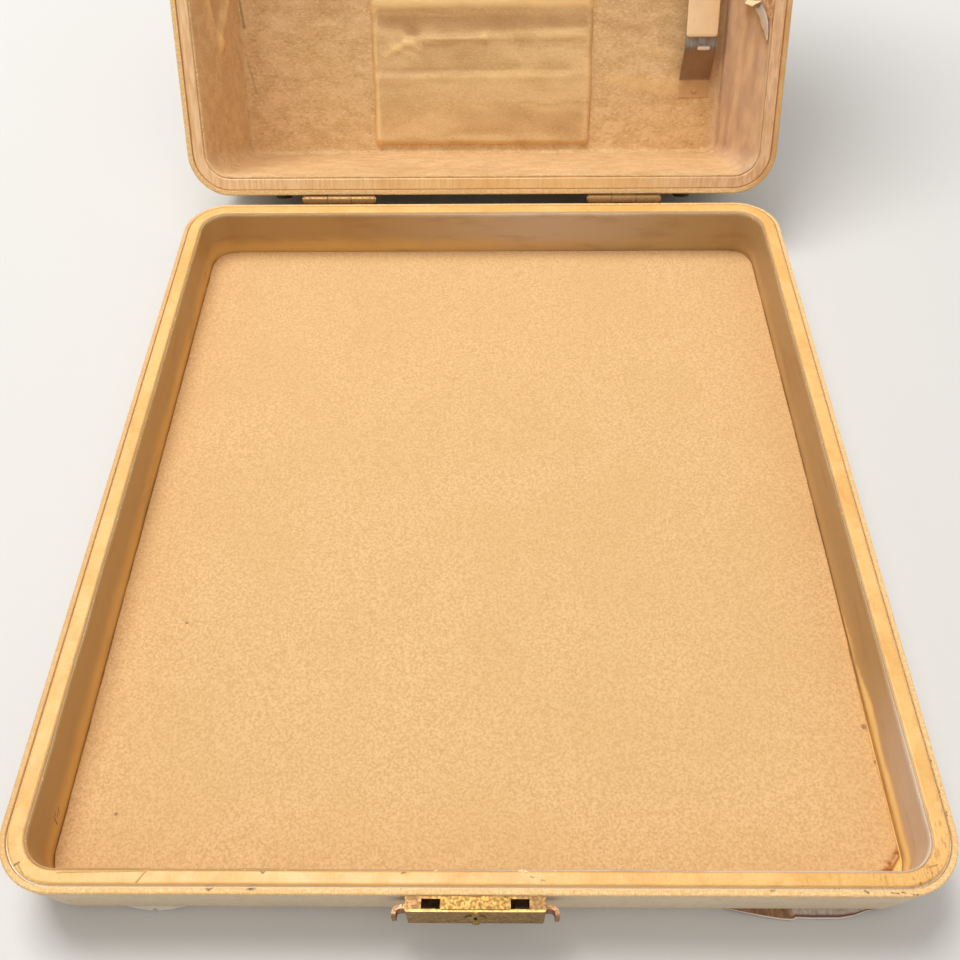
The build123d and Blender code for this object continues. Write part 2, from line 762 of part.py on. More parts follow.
with BuildPart() as left_catch_spring:
    mirror(right_catch_spring.part, about=Plane.YZ)
keep("left_catch_spring", left_catch_spring.part)

# Key plug with its flange behind the housing's front and a short cam
flange_front = lock_depth - lock_sheet - lock_fit
with BuildPart() as lock_plug:
    with BuildSketch(front_face.offset(back_plate + lock_fit)):
        with Locations((0, plug_z)):
            Circle(plug_shaft)
    extrude(amount=flange_front - back_plate - lock_fit)
    with BuildSketch(front_face.offset(flange_front - plug_flange_thickness)):
        with Locations((0, plug_z)):
            Circle(plug_flange)
    extrude(amount=plug_flange_thickness)
    with BuildSketch(front_face.offset(back_plate + lock_fit)):
        with Locations((0, plug_z)):
            SlotOverall(cam_length, cam_width, rotation=90)
    extrude(amount=cam_thickness)
    with BuildSketch(front_face.offset(flange_front)):
        with Locations((0, plug_z)):
            Circle(plug_radius)
    extrude(amount=lock_depth + plug_proud - flange_front)
    with BuildSketch(front_face.offset(lock_depth + plug_proud)):
        with Locations((0, plug_z)):
            SlotOverall(keyway_length, keyway_width, rotation=90)
    extrude(amount=-keyway_depth, mode=Mode.SUBTRACT)
keep("lock_plug", lock_plug.part)

lock_rivets = make_rivets(front_face, lock_rivet_spots, lock_depth, shank_depth, *small_rivet)
keep("lock_rivets", lock_rivets)

# Hasp with two hooks that drop through the lock's windows
hook_inner = window_inner + hook_side_gap
hook_outer = hook_inner + hook_width
hook_tip = lock_top - hook_reach + catch_lift
notch_bottom = nose_z - hook_notch_play
notch_top = nose_z + nose_height + hook_notch_play
with BuildPart() as hasp_plate:
    with BuildSketch(front_face):
        with Locations((0, hasp_bottom + hasp_height / 2)):
            RectangleRounded(hasp_width, hasp_height, hasp_corner)
    extrude(amount=hasp_thickness)
    with BuildSketch(front_face.offset(hasp_thickness)):
        with BuildLine():
            Polyline(
                (hook_inner, hasp_bottom + hook_root),
                (hook_inner, notch_top),
                (hook_inner + hook_notch_depth, notch_top),
                (hook_inner + hook_notch_depth, notch_bottom),
                (hook_inner, notch_bottom),
                (hook_inner, hook_tip + hook_bevel),
                (hook_inner + hook_bevel, hook_tip),
                (hook_outer, hook_tip),
                (hook_outer, hasp_bottom + hook_root),
                close=True,
            )
        make_face()
        mirror(about=Plane.YZ)
    extrude(amount=hook_thickness)
    with BuildSketch(front_face):
        with Locations(*hasp_rivet_spots):
            Circle(rivet_shank + running_gap)
    extrude(amount=hasp_thickness, mode=Mode.SUBTRACT)
keep_open("hasp_plate", hasp_plate.part)
hasp_rivets = make_rivets(front_face, hasp_rivet_spots, hasp_thickness, shank_depth, *large_rivet)
keep_open("hasp_rivets", hasp_rivets)

# Handle: brackets, pins and grip, drawn lying up the lid's front wall
handle_wall = lid_front_wall(handle_z)
pivot = handle_wall.from_local_coords(Vector(0, 0, handle_pivot_reach))
handle_axis = Axis(pivot, (1, 0, 0))
grip_reach = handle_drop + handle_bar
rest_tilt = math.degrees(
    math.asin((handle_pivot_reach - handle_thickness / 2 - handle_wall_gap) / grip_reach)
)
print("handle rests at a tilt of", round(rest_tilt, 3), "degrees")
arm_half = handle_arm / 2
ear_gap_half = arm_half + bracket_ear_gap
side_wall = Plane(origin=handle_wall.origin, x_dir=handle_wall.y_dir, z_dir=(1, 0, 0))


def make_bracket(centre):
    """A folded saddle with two ears for the handle's pin."""
    with BuildPart() as bracket:
        with BuildSketch(handle_wall):
            with Locations((centre, 0)):
                RectangleRounded(bracket_width, bracket_height, bracket_corner)
        extrude(amount=bracket_sheet)
        for start in (centre - ear_gap_half - bracket_sheet, centre + ear_gap_half):
            with BuildSketch(side_wall.offset(start)):
                with Locations((0, handle_pivot_reach)):
                    Circle(bracket_ear_radius)
                with Locations((0, handle_pivot_reach / 2)):
                    Rectangle(2 * bracket_ear_radius, handle_pivot_reach)
                with Locations((0, handle_pivot_reach)):
                    Circle(handle_pin_radius + running_gap, mode=Mode.SUBTRACT)
            extrude(amount=bracket_sheet)
        with BuildSketch(handle_wall):
            with Locations((centre - bracket_rivet_offset, 0), (centre + bracket_rivet_offset, 0)):
                Circle(rivet_shank + running_gap)
        extrude(amount=bracket_sheet, mode=Mode.SUBTRACT)
    return bracket.part


def make_handle_pin(centre):
    """A pin through both ears and the handle's arm, headed at each end."""
    half = ear_gap_half + bracket_sheet + running_gap
    with BuildPart() as pin:
        with BuildSketch(side_wall.offset(centre - half)):
            with Locations((0, handle_pivot_reach)):
                Circle(handle_pin_radius)
        extrude(amount=2 * half)
        with BuildSketch(side_wall.offset(centre - half)):
            with Locations((0, handle_pivot_reach)):
                Circle(handle_pin_head)
        extrude(amount=-handle_pin_head_height)
        with BuildSketch(side_wall.offset(centre + half)):
            with Locations((0, handle_pivot_reach)):
                Circle(handle_pin_head)
        extrude(amount=handle_pin_head_height)
    return pin.part


for side, centre in zip(("left", "right"), bracket_centres):
    keep_open(side + "_handle_bracket", make_bracket(centre))
    keep_open(side + "_handle_pin", make_handle_pin(centre))
bracket_rivet_parts = make_rivets(handle_wall, bracket_rivets, bracket_sheet, shank_depth, *large_rivet)
keep_open("handle_bracket_rivets", bracket_rivet_parts)

grip_width = handle_pivot_spacing + handle_arm
grip_height = grip_reach + handle_thickness / 2
gap_width = handle_pivot_spacing - handle_arm
grip_plane = handle_wall.offset(handle_pivot_reach - handle_thickness / 2)
with BuildPart() as handle_grip:
    with BuildSketch(grip_plane) as grip_outline:
        with Locations((0, (grip_reach - handle_thickness / 2) / 2)):
            Rectangle(grip_width, grip_height)
        fillet(grip_outline.vertices().group_by(Axis.Y)[-1], handle_corner)
    extrude(amount=handle_thickness)
    with BuildSketch(grip_plane) as finger_gap:
        with Locations((0, (handle_drop - handle_thickness) / 2)):
            Rectangle(gap_width, handle_drop + handle_thickness)
        fillet(finger_gap.vertices().group_by(Axis.Y)[-1], handle_inner_corner)
    extrude(amount=handle_thickness, mode=Mode.SUBTRACT)
    grip_faces = handle_grip.faces().filter_by(Axis(handle_wall.origin, handle_wall.z_dir))
    fillet(grip_faces.edges(), handle_edge_radius)
    with BuildSketch(side_wall.offset(-grip_width / 2)):
        with Locations((0, handle_pivot_reach)):
            Circle(handle_pin_radius + running_gap)
    extrude(amount=grip_width, mode=Mode.SUBTRACT)
keep_open("handle_grip", handle_grip.part.rotate(handle_axis, -rest_tilt))

for name, piece in pieces.items():
    export_step(piece, "parts/" + name + ".step")
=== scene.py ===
import json
import math

import bmesh
import bpy
from mathutils import Matrix, Vector, noise


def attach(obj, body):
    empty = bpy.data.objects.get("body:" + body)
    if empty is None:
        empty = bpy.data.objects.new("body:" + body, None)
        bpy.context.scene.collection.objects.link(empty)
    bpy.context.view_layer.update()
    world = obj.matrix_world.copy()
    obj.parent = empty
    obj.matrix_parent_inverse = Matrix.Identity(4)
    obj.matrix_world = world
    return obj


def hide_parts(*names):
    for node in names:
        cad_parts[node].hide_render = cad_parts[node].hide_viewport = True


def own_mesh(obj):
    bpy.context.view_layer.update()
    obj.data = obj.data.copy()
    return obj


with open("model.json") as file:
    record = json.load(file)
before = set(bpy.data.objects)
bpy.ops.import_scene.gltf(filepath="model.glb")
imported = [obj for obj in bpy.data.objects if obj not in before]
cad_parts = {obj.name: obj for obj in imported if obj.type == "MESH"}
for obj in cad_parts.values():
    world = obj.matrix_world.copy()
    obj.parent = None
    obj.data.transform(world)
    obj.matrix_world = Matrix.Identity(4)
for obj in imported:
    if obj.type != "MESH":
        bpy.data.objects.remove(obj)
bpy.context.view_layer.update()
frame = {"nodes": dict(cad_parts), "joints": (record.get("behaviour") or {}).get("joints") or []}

# The case is described closed and in millimetres, as it is built, and opened() swings a place on its lid open
MM = 0.001
case_width = 368.0
case_depth = 415.0
plan_corner = 25.0
corner_turns = 12
base_height = 38.0
lid_lip = 38.3
lid_slope = math.tan(math.radians(4.5))
front_rim_trim = 1.4
ridge_top = 38.8

# Soft goods, from the faces that carry them
lining_glued_inset = 10.0
lining_inset = 10.8
base_lining_low = 4.1
base_lining_high = 37.5
felt_low = 7.2
felt_high = 9.2
felt_inset = 10.95
felt_corner = 14.0
felt_torn = 15.0
lid_lining_low = 40.5
lid_lining_high = 134.9
ceiling_face = 135.0
ceiling_back = 136.2
ceiling_inset = 17.7
panel_face = 132.7
panel_back = 134.9
panel_half_width = 76.0
panel_half_length = 183.0
strap_centre = 148.0
strap_half_width = 10.5
strap_front = 34.5
strap_rear = 114.5
strap_face = 118.1
strap_back = 119.7
spring_bend = 120.5
spring_foot = 140.5
peel_root = -201.4
peel_thickness = 0.5
ribbon_thickness = 0.35

# Camera, at the photograph's viewing angle
image_width_px = 960
focal_px = 961.1
eye = Vector((0.00608, -0.30280, 0.41241))
look_down = math.radians(52.33)
look_left = math.radians(1.10)
camera_roll = math.radians(-0.94)

lid_hinge = next(joint for joint in frame["joints"] if joint["name"] == "lid_hinge")
hinge_point = Vector(lid_hinge["pos_m"])
open_turn = Matrix.Rotation(-math.radians(lid_hinge["range_deg"][1]), 4, "X")


def opened(x, y, z):
    """A place on the closed lid in millimetres, swung open, in metres."""
    return open_turn @ (Vector((x, y, z)) * MM - hinge_point) + hinge_point


def upright(x, y, z):
    """A place on the base in millimetres, in metres."""
    return Vector((x, y, z)) * MM


def srgb(red, green, blue):
    """A colour written as 0 to 255, as the linear values that a shader takes."""
    linear = [((c / 255 + 0.055) / 1.055) ** 2.4 if c > 10 else c / 255 / 12.92 for c in (red, green, blue)]
    return (*linear, 1.0)


# How fine the wander of painted lines and the roughness of crumbs is, in waves per metre
line_waves = 400.0
crumb_waves = 1400.0


# Forms
def wave(x, y, z, size):
    """Smooth unevenness from -1 to 1, with features about size millimetres across."""
    return noise.noise(Vector((x, y, z)) / size)


def swell(value, low, high):
    """0 below low, 1 above high and smooth between them."""
    share = min(max((value - low) / (high - low), 0.0), 1.0)
    return share * share * (3 - 2 * share)


def crease(point, start, end, width):
    """How much a crease from start to end lifts the cloth at point, from 0 to 1."""
    place, first, last = Vector(point), Vector(start), Vector(end)
    run = last - first
    share = min(max((place - first).dot(run) / run.length_squared, 0.0), 1.0)
    return math.exp(-(((place - first - share * run).length / width) ** 2))


def creased(x, y, creases):
    """How far creases of (start, end, width, height) lift the cloth at a place."""
    return sum(height * crease((x, y), start, end, width) for start, end, width, height in creases)


def profile(place, corners):
    """The value at a place along straight runs between corners of (place, value)."""
    for (start, low), (end, high) in zip(corners, corners[1:]):
        if start <= place <= end:
            return low + (high - low) * (place - start) / (end - start)
    return 0.0


def link(name, data):
    """A new object in the scene that holds data."""
    made = bpy.data.objects.new(name, data)
    bpy.context.scene.collection.objects.link(made)
    return made


def finish_piece(name, mesh, work, body, paint):
    """Fill a piece's mesh with smooth faces and let it ride on its body."""
    for face in work.faces:
        face.smooth = True
    work.to_mesh(mesh)
    work.free()
    mesh.materials.append(paint.material)
    piece = link(name, mesh)
    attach(piece, body)
    return piece


def make_piece(name, points, faces, body, slot, paint, folds=()):
    """A smooth piece from points in metres, where folds tint its raised places."""
    mesh = bpy.data.meshes.new(name)
    mesh.from_pydata([tuple(point) for point in points], [], faces)
    if folds:
        layer = mesh.attributes.new("fold", "FLOAT", "POINT")
        layer.data.foreach_set("value", [*folds, *([0.0] * (len(points) - len(folds)))])
    work = bmesh.new()
    work.from_mesh(mesh)
    bmesh.ops.recalc_face_normals(work, faces=work.faces)
    return finish_piece(name, mesh, work, body, paint)


def make_cloth(name, spots, place, body, slot, paint, ring=False):
    """A thin closed piece over rows of spots, where place gives a spot's face, its back and perhaps its fold.

    ring says that each row runs round and meets its start.
    """
    rows, columns = len(spots), len(spots[0])
    face, back, *folds = zip(*(place(*spot) for row in spots for spot in row))
    last = columns if ring else columns - 1
    faces = []

    def quad(*corners):
        faces.append([(side * rows + row) * columns + column % columns for side, row, column in corners])

    for row in range(rows - 1):
        for column in range(last):
            for side in (0, 1):
                near = (side, row, column), (side, row, column + 1)
                quad(*near, (side, row + 1, column + 1), (side, row + 1, column))
    for row in (0, rows - 1):
        for column in range(last):
            quad((0, row, column), (0, row, column + 1), (1, row, column + 1), (1, row, column))
    if not ring:
        for column in (0, columns - 1):
            for row in range(rows - 1):
                quad((0, row, column), (0, row + 1, column), (1, row + 1, column), (1, row, column))
    return make_piece(name, [*face, *back], faces, body, slot, paint, *folds)


def shares(count):
    """Even steps from 0 to 1."""
    return [index / count for index in range(count + 1)]


def stations(spacing, trim=0.0):
    """Places round the case's plan with their directions outward, from the front right corner anticlockwise.

    trim moves the front ones forward.
    """
    half_x = case_width / 2 - plan_corner
    rear = case_depth / 2 - plan_corner
    front = -rear - trim
    centres = [(half_x, front), (half_x, rear), (-half_x, rear), (-half_x, front)]
    found = []
    for quarter, (x, y) in enumerate(centres):
        for turn in shares(corner_turns):
            angle = math.radians(90 * (quarter - 1 + turn))
            out_x, out_y = math.cos(angle), math.sin(angle)
            found.append((x + plan_corner * out_x, y + plan_corner * out_y, out_x, out_y))
        next_x, next_y = centres[(quarter + 1) % 4]
        steps = round(math.hypot(next_x - x, next_y - y) / spacing)
        for share in shares(steps)[1:-1]:
            run_x, run_y = x + (next_x - x) * share, y + (next_y - y) * share
            found.append((run_x + plan_corner * out_x, run_y + plan_corner * out_y, out_x, out_y))
    return found


def wall_spots(ring, steps):
    """Rows of places round a wall, each with its share of the wall's height."""
    return [[(share, *place) for place in ring] for share in shares(steps)]


def strip_spots(along, across):
    """Rows of shares along and across a strip."""
    return [[(share, out) for out in shares(across)] for share in shares(along)]


def close_at_ends(half, step):
    """Coordinates from -half to half, step apart and closer together at both ends."""
    margins = [0.0, 0.25, 0.6, 1.1, 2.0, 3.4, 5.4, 8.0]
    middle = half - margins[-1]
    count = max(round(2 * middle / step), 1)
    inner = [-middle + 2 * middle * index / count for index in range(1, count)]
    return [margin - half for margin in margins] + inner + [half - margin for margin in reversed(margins)]


def rounded_grid(half_x, half_y, corner, step):
    """Rows of points over a rounded rectangle, each with its distance from the edge."""
    rows = []
    for row_y in close_at_ends(half_y, step):
        row = []
        for x in close_at_ends(half_x, step):
            y = row_y
            over_x, over_y = abs(x) - half_x + corner, abs(y) - half_y + corner
            edge = min(half_x - abs(x), half_y - abs(y))
            if over_x > 0 and over_y > 0:
                pull = max(over_x, over_y) / math.hypot(over_x, over_y)
                x = math.copysign(half_x - corner + over_x * pull, x)
                y = math.copysign(half_y - corner + over_y * pull, y)
                edge = corner - max(over_x, over_y)
            row.append((x, y, edge))
        rows.append(row)
    return rows


def rounded_off(edge, radius):
    """How far a face has dropped at this distance from its rounded edge."""
    if edge >= radius:
        return 0.0
    return radius - math.sqrt(max(radius**2 - (radius - edge) ** 2, 0.0))


class Paint:
    """A procedural material: the shader and the nodes that feed it. Colours are written as 0 to 255."""

    def __init__(self, name, roughness, metallic=0.0, sheen=0.0, coat=0.0):
        self.material = bpy.data.materials.new(name)
        self.material.use_nodes = True
        self.tree = self.material.node_tree
        self.shader = self.tree.nodes["Principled BSDF"]
        looks = {"Roughness": roughness, "Metallic": metallic, "Sheen Weight": sheen, "Coat Weight": coat}
        for socket, value in looks.items():
            self.shader.inputs[socket].default_value = value
        self.place = self.add("ShaderNodeTexCoord", {}, "Object")

    def add(self, kind, inputs, output, **settings):
        """Add a node, set or join its inputs, and give back one of its outputs."""
        node = self.tree.nodes.new(kind)
        for key, value in settings.items():
            setattr(node, key, value)
        for key, value in inputs.items():
            if isinstance(value, bpy.types.NodeSocket):
                self.tree.links.new(value, node.inputs[key])
            else:
                node.inputs[key].default_value = value
        return node.outputs[output]

    def math(self, operation, first, second=0.0):
        return self.add("ShaderNodeMath", {0: first, 1: second}, 0, operation=operation)

    def sum(self, first, second):
        return self.math("ADD", first, second)

    def product(self, first, second):
        return self.math("MULTIPLY", first, second)

    def greater(self, first, second):
        return self.math("MAXIMUM", first, second)

    def vector(self, operation, inputs, output=0):
        return self.add("ShaderNodeVectorMath", inputs, output, operation=operation)

    def ramp(self, value, low, high, first=0.0, last=1.0):
        """first where value is at low, last where it is at high."""
        inputs = {"Value": value, "From Min": low, "From Max": high, "To Min": first, "To Max": last}
        return self.add("ShaderNodeMapRange", inputs, 0, interpolation_type="SMOOTHSTEP")

    def mix(self, share, first, second):
        """A colour between first and second."""
        ends = [end if isinstance(end, bpy.types.NodeSocket) else srgb(*end) for end in (first, second)]
        return self.add("ShaderNodeMix", {0: share, 6: ends[0], 7: ends[1]}, 2, data_type="RGBA")

    def blend(self, first, second, *ramp):
        """A colour that turns from first to second by a ramp."""
        return self.mix(self.ramp(*ramp), first, second)

    def grain(self, size, detail=3.0, distortion=0.0, stretch=(1, 1, 1)):
        """Noise from 0 to 1 with features about size millimetres across."""
        inputs = {"Vector": self.vector("MULTIPLY", {0: self.place, 1: stretch}), "Scale": 1 / (size * MM)}
        inputs.update({"Detail": detail, "Distortion": distortion})
        return self.add("ShaderNodeTexNoise", inputs, "Fac")

    def crossed(self, size, detail, narrow, tall):
        """Hairs that run both ways over the plan."""
        first = self.grain(size, detail, stretch=(1, narrow, tall))
        return self.greater(first, self.grain(size, detail, stretch=(narrow, 1, tall)))

    def cells(self, size, feature="F1"):
        """Distance from the middle of random cells, in shares of their size."""
        inputs = {"Vector": self.place, "Scale": 1 / (size * MM)}
        return self.add("ShaderNodeTexVoronoi", inputs, "Distance", feature=feature)

    def fold(self):
        """The share by which a place stands up in a fold."""
        return self.add("ShaderNodeAttribute", {}, "Fac", attribute_name="fold")

    def along(self, direction, origin=(0, 0, 0)):
        """Distance in millimetres from origin along direction."""
        offset = self.vector("SUBTRACT", {0: self.place, 1: origin})
        return self.product(self.vector("DOT_PRODUCT", {0: offset, 1: direction}, "Value"), 1 / MM)

    def spot(self, centre, reach, soft):
        """1 within reach millimetres of centre, 0 a soft distance further out."""
        distance = self.vector("DISTANCE", {0: self.place, 1: centre}, "Value")
        return self.ramp(distance, reach * MM, (reach + soft) * MM, 1.0, 0.0)

    def line(self, start, end, width, wander=0.6):
        """1 on a thin wandering line from start to end, in metres, width millimetres wide."""
        run = end - start
        drift = self.add("ShaderNodeTexNoise", {"Vector": self.place, "Scale": line_waves}, "Color")
        drift = self.vector("SUBTRACT", {0: drift, 1: (0.5, 0.5, 0.5)})
        drift = self.vector("SCALE", {0: drift, "Scale": wander * 2 * MM})
        offset = self.vector("SUBTRACT", {0: self.vector("ADD", {0: self.place, 1: drift}), 1: start})
        share = self.vector("DOT_PRODUCT", {0: offset, 1: run / run.length_squared}, "Value")
        share = self.add("ShaderNodeClamp", {"Value": share}, 0)
        foot = self.vector("SCALE", {0: run, "Scale": share})
        distance = self.vector("DISTANCE", {0: offset, 1: foot}, "Value")
        return self.ramp(distance, width * MM * 0.3, width * MM, 1.0, 0.0)

    def strokes(self, marks, wander):
        """Thin lines, each with its start, end, width and darkness."""
        dark = 0.0
        for start, end, width, darkness in marks:
            dark = self.greater(dark, self.product(self.line(start, end, width, wander), darkness))
        return dark

    def feed(self, socket, value):
        self.tree.links.new(value, self.shader.inputs[socket])

    def colour(self, value):
        self.feed("Base Color", value)

    def coloured(self):
        """The colour that the shader has been given."""
        return self.shader.inputs["Base Color"].links[0].from_socket

    def roughness(self, value):
        self.feed("Roughness", value)

    def relief(self, *layers):
        """Bump the surface with layers of (height, depth in millimetres)."""
        normal = None
        for height, depth in layers:
            inputs = {"Height": height, "Distance": depth * MM, "Strength": 1.0}
            if normal:
                inputs["Normal"] = normal
            normal = self.add("ShaderNodeBump", inputs, 0)
        self.feed("Normal", normal)


lid_turn = open_turn.to_3x3()
lid_up = lid_turn @ Vector((0, 0, 1))
lid_back = lid_turn @ Vector((0, 1, 0))
lid_foot = opened(0, 0, 0)
rightward = Vector((1, 0, 0))
rearward = Vector((0, 1, 0))
upward = Vector((0, 0, 1))


# Materials
def shell_vinyl(name, up, back, foot, lip_low, lip_high, worn_from, worn_to, worn_inset, shade_side):
    """Beige grained vinyl, soiled and scuffed, with a fuzzy paper-like lip, deeper yellow-brown as painted
    shade towards one side, and a worn far edge.
    """
    paint = Paint(name, 0.55)
    height = paint.along(up, foot)
    across = paint.along(rightward)
    beside = paint.sum(paint.math("ABSOLUTE", across), -case_width / 2)
    behind = paint.sum(paint.math("ABSOLUTE", paint.along(back, foot)), -case_depth / 2)
    rim = paint.ramp(paint.greater(beside, behind), -worn_inset - 6, -worn_inset)
    corner = paint.ramp(paint.sum(beside, behind), -44, -14)
    body = paint.mix(paint.grain(42), (214, 192, 158), (230, 210, 178))
    body = paint.blend(body, (188, 158, 118), paint.grain(6, 5.0), 0.5, 0.72, 0.0, 0.22)
    streaks = paint.grain(3.0, 4.0, 0.3, stretch=(0.08, 0.08, 1))
    body = paint.blend(body, (176, 148, 116), streaks, 0.6, 0.7, 0.0, 0.1)
    leather = paint.cells(1.1, "SMOOTH_F1")
    body = paint.blend(body, (164, 136, 100), leather, 0.25, 0.6, 0.0, 0.16)
    edge = paint.product(paint.ramp(height, worn_from, worn_to), rim)
    edge = paint.product(edge, paint.ramp(paint.grain(55, 2.0), 0.4, 0.62, 0.45, 1.0))
    chafe = paint.ramp(paint.grain(2.6, 5.0), 0.35, 0.68, -0.75, 0.1)
    worn = paint.sum(paint.sum(edge, paint.product(corner, 0.45)), chafe)
    body = paint.blend(body, (170, 136, 98), worn, 0.28, 0.7, 0.0, 0.55)
    below = paint.ramp(height, lip_high, lip_high + 0.5, 1.0, 0.0)
    lip = paint.product(paint.ramp(height, lip_low - 0.5, lip_low), below)
    hairs = paint.crossed(0.7, 3.0, 0.3, 0.5)
    paper = paint.blend((234, 186, 118), (250, 212, 152), hairs, 0.45, 0.7)
    # Painted shade: the lip turns a deeper yellow-brown towards one side, the side that stood in shade
    ochre_shade = paint.ramp(paint.product(across, shade_side), 150, 178)
    ochre_shade = paint.product(ochre_shade, paint.ramp(paint.grain(18), 0.3, 0.6, 0.6, 0.95))
    paper = paint.mix(ochre_shade, paper, (208, 154, 88))
    paper = paint.blend(paper, (150, 104, 56), paint.grain(1.3, 2.0), 0.7, 0.76, 0.0, 0.6)
    paint.colour(paint.mix(lip, body, paper))
    paint.relief((paint.grain(30, 2.0), 0.5), (leather, 0.12), (paint.product(hairs, lip), 0.35))
    paint.roughness(paint.ramp(paint.grain(12, 4.0), 0.3, 0.7, 0.48, 0.68))
    return paint


def rim_vinyl(name, marks=(), pitted=()):
    """Smooth yellowed vinyl over the ridge, with painted light on its lower sides.

    marks are cracks from start to end with a width and a darkness; pitted places have a centre and a reach.
    """
    paint = Paint(name, 0.42, coat=0.06)
    body = paint.blend((234, 178, 96), (244, 192, 114), paint.grain(26, 3.0), 0.35, 0.65)
    body = paint.blend(body, (220, 152, 72), paint.grain(9, 5.0, 0.8), 0.5, 0.72, 0.0, 0.4)
    body = paint.blend(body, (206, 146, 78), paint.grain(1.4, 3.0), 0.56, 0.76, 0.0, 0.3)
    hatch = paint.crossed(0.6, 2.0, 0.2, 1)
    body = paint.blend(body, (250, 208, 142), hatch, 0.5, 0.7, 0.0, 0.25)
    body = paint.blend(body, (250, 206, 138), paint.grain(13, 4.0, 0.4), 0.58, 0.72, 0.0, 0.4)
    # Painted light: the ridge's sides below its top are paled, to lift the shade of the groove beside the lip
    body = paint.blend(body, (255, 240, 208), paint.along(upward), ridge_top - 0.9, ridge_top - 0.4, 0.9, 0.0)
    cracks = paint.strokes(marks, 0.25)
    for centre, reach in pitted:
        pits = paint.ramp(paint.grain(1.1, 3.0), 0.62, 0.72)
        cracks = paint.greater(cracks, paint.product(pits, paint.spot(centre, reach * 0.5, reach)))
    layers = [(paint.grain(14, 2.0), 0.6), (paint.grain(0.7, 3.0), 0.05)]
    if marks:
        crumpled = paint.product(
            paint.ramp(paint.along(rightward), 100, 165, 0.15, 0.6),
            paint.ramp(paint.along(rearward), -185, -160, 1.0, 0.0),
        )
        wrinkles = paint.ramp(paint.grain(0.8, 3.0, stretch=(1, 0.16, 1)), 0.56, 0.66)
        body = paint.mix(paint.product(wrinkles, crumpled), body, (196, 134, 70))
        body = paint.mix(cracks, body, (104, 56, 22))
        layers.append((paint.product(cracks, -1.0), 0.3))
    paint.colour(body)
    paint.relief(*layers)
    paint.roughness(paint.ramp(paint.grain(9, 4.0), 0.3, 0.7, 0.36, 0.56))
    return paint


def lid_rim_vinyl():
    """The lid's frame edge: cream at the left, pinker and browner at the right."""
    paint = rim_vinyl("lid_rim_vinyl")
    plain = paint.coloured()
    across = paint.along(rightward)
    strands = paint.grain(1.5, 3.0, stretch=(1, 0.1, 0.1))
    cream = paint.blend((228, 180, 128), (248, 208, 160), strands, 0.35, 0.65)
    plain = paint.blend(plain, cream, across, -172, 20, 0.85, 0.3)
    fibres = paint.grain(1.6, 4.0, stretch=(1, 0.2, 0.2))
    pinkish = paint.blend((202, 150, 106), (228, 184, 146), fibres, 0.35, 0.65)
    paint.colour(paint.blend(plain, pinkish, across, 60, 172, 0.0, 0.7))
    return paint


def floor_felt():
    """Speckled cream and tan felt with a few dark specks and a stain at its torn corner."""
    paint = Paint("floor_felt", 0.95, sheen=0.12)
    speckle = paint.grain(1.1, 3.0, 0.3)
    body = paint.blend((214, 168, 110), (236, 194, 138), speckle, 0.3, 0.68)
    body = paint.blend(body, (218, 174, 112), paint.grain(50, 3.0), 0.35, 0.7, 0.0, 0.3)
    fibre = paint.grain(0.5, 4.0)
    body = paint.blend(body, (240, 206, 158), fibre, 0.5, 0.7, 0.0, 0.3)
    dust = paint.ramp(paint.cells(13), 0.015, 0.04, 0.5, 0.0)
    dust = paint.product(dust, paint.ramp(paint.grain(70), 0.4, 0.6))
    for x, y, reach in felt_specks:
        dust = paint.greater(dust, paint.product(paint.spot(upright(x, y, felt_high), reach, 0.6), 0.6))
    body = paint.mix(dust, body, (120, 80, 44))
    stain = paint.line(*(upright(*end, felt_high) for end in felt_stain), 3.2, 1.2)
    stain = paint.product(stain, paint.ramp(paint.grain(2.2, 4.0), 0.3, 0.6))
    body = paint.mix(stain, body, (168, 100, 36))
    paint.colour(body)
    paint.relief((paint.grain(22, 3.0), 0.5), (speckle, 0.3), (fibre, 0.12))
    return paint


def wall_lining():
    """Smooth lining of the base's walls: greyish above, tan below and yellow at the right-hand foot, with
    painted shade on the left wall's upper part and a painted shadow at the right rear.
    """
    paint = Paint("wall_lining", 0.5)
    height = paint.along(upward)
    across = paint.along(rightward)
    station = paint.along(rearward)
    # Painted shadow: the right wall turns darker towards its rear, where a shadow fell across it
    behind = paint.product(paint.ramp(across, 0, 150), paint.ramp(station, -168, -100))
    fall = paint.sum(height, paint.product(paint.grain(26, 3.0), 9.0))
    # Painted shade: the upper wall is darker and browner at the left, whose wall faces away from the light
    upper = paint.blend((186, 146, 90), (214, 190, 166), across, -100, 100)
    upper = paint.mix(behind, upper, (187, 152, 104))
    lower = paint.blend((230, 180, 100), (216, 174, 116), across, -100, 100)
    lower = paint.mix(behind, lower, (198, 158, 102))
    body = paint.blend(lower, upper, fall, 15, 27)
    veil = paint.grain(8, 5.0, stretch=(0.25, 0.25, 1))
    body = paint.blend(body, (166, 120, 70), veil, 0.52, 0.72, 0.0, 0.35)
    near = paint.math("SUBTRACT", fall, paint.ramp(station, -150, -20, 3.5, -3.0))
    foot = paint.product(paint.ramp(across, 160, 168), paint.ramp(near, 14.5, 18.0, 1.0, 0.0))
    body = paint.mix(foot, body, (255, 218, 144))
    rub = paint.ramp(height, 34.5, 36.5, 0.0, 0.5)
    rub = paint.product(paint.ramp(paint.grain(1.6, 4.0), 0.6, 0.72), rub)
    body = paint.mix(rub, body, (248, 214, 160))
    side = lining_inset - case_width / 2
    scuffs = [(upright(side, *start), upright(side, *end), 0.45, 0.8) for start, end in wall_scuffs]
    body = paint.mix(paint.strokes(scuffs, 0.5), body, (58, 40, 26))
    paint.colour(body)
    paint.relief((veil, 0.35), (paint.grain(0.8), 0.05))
    return paint


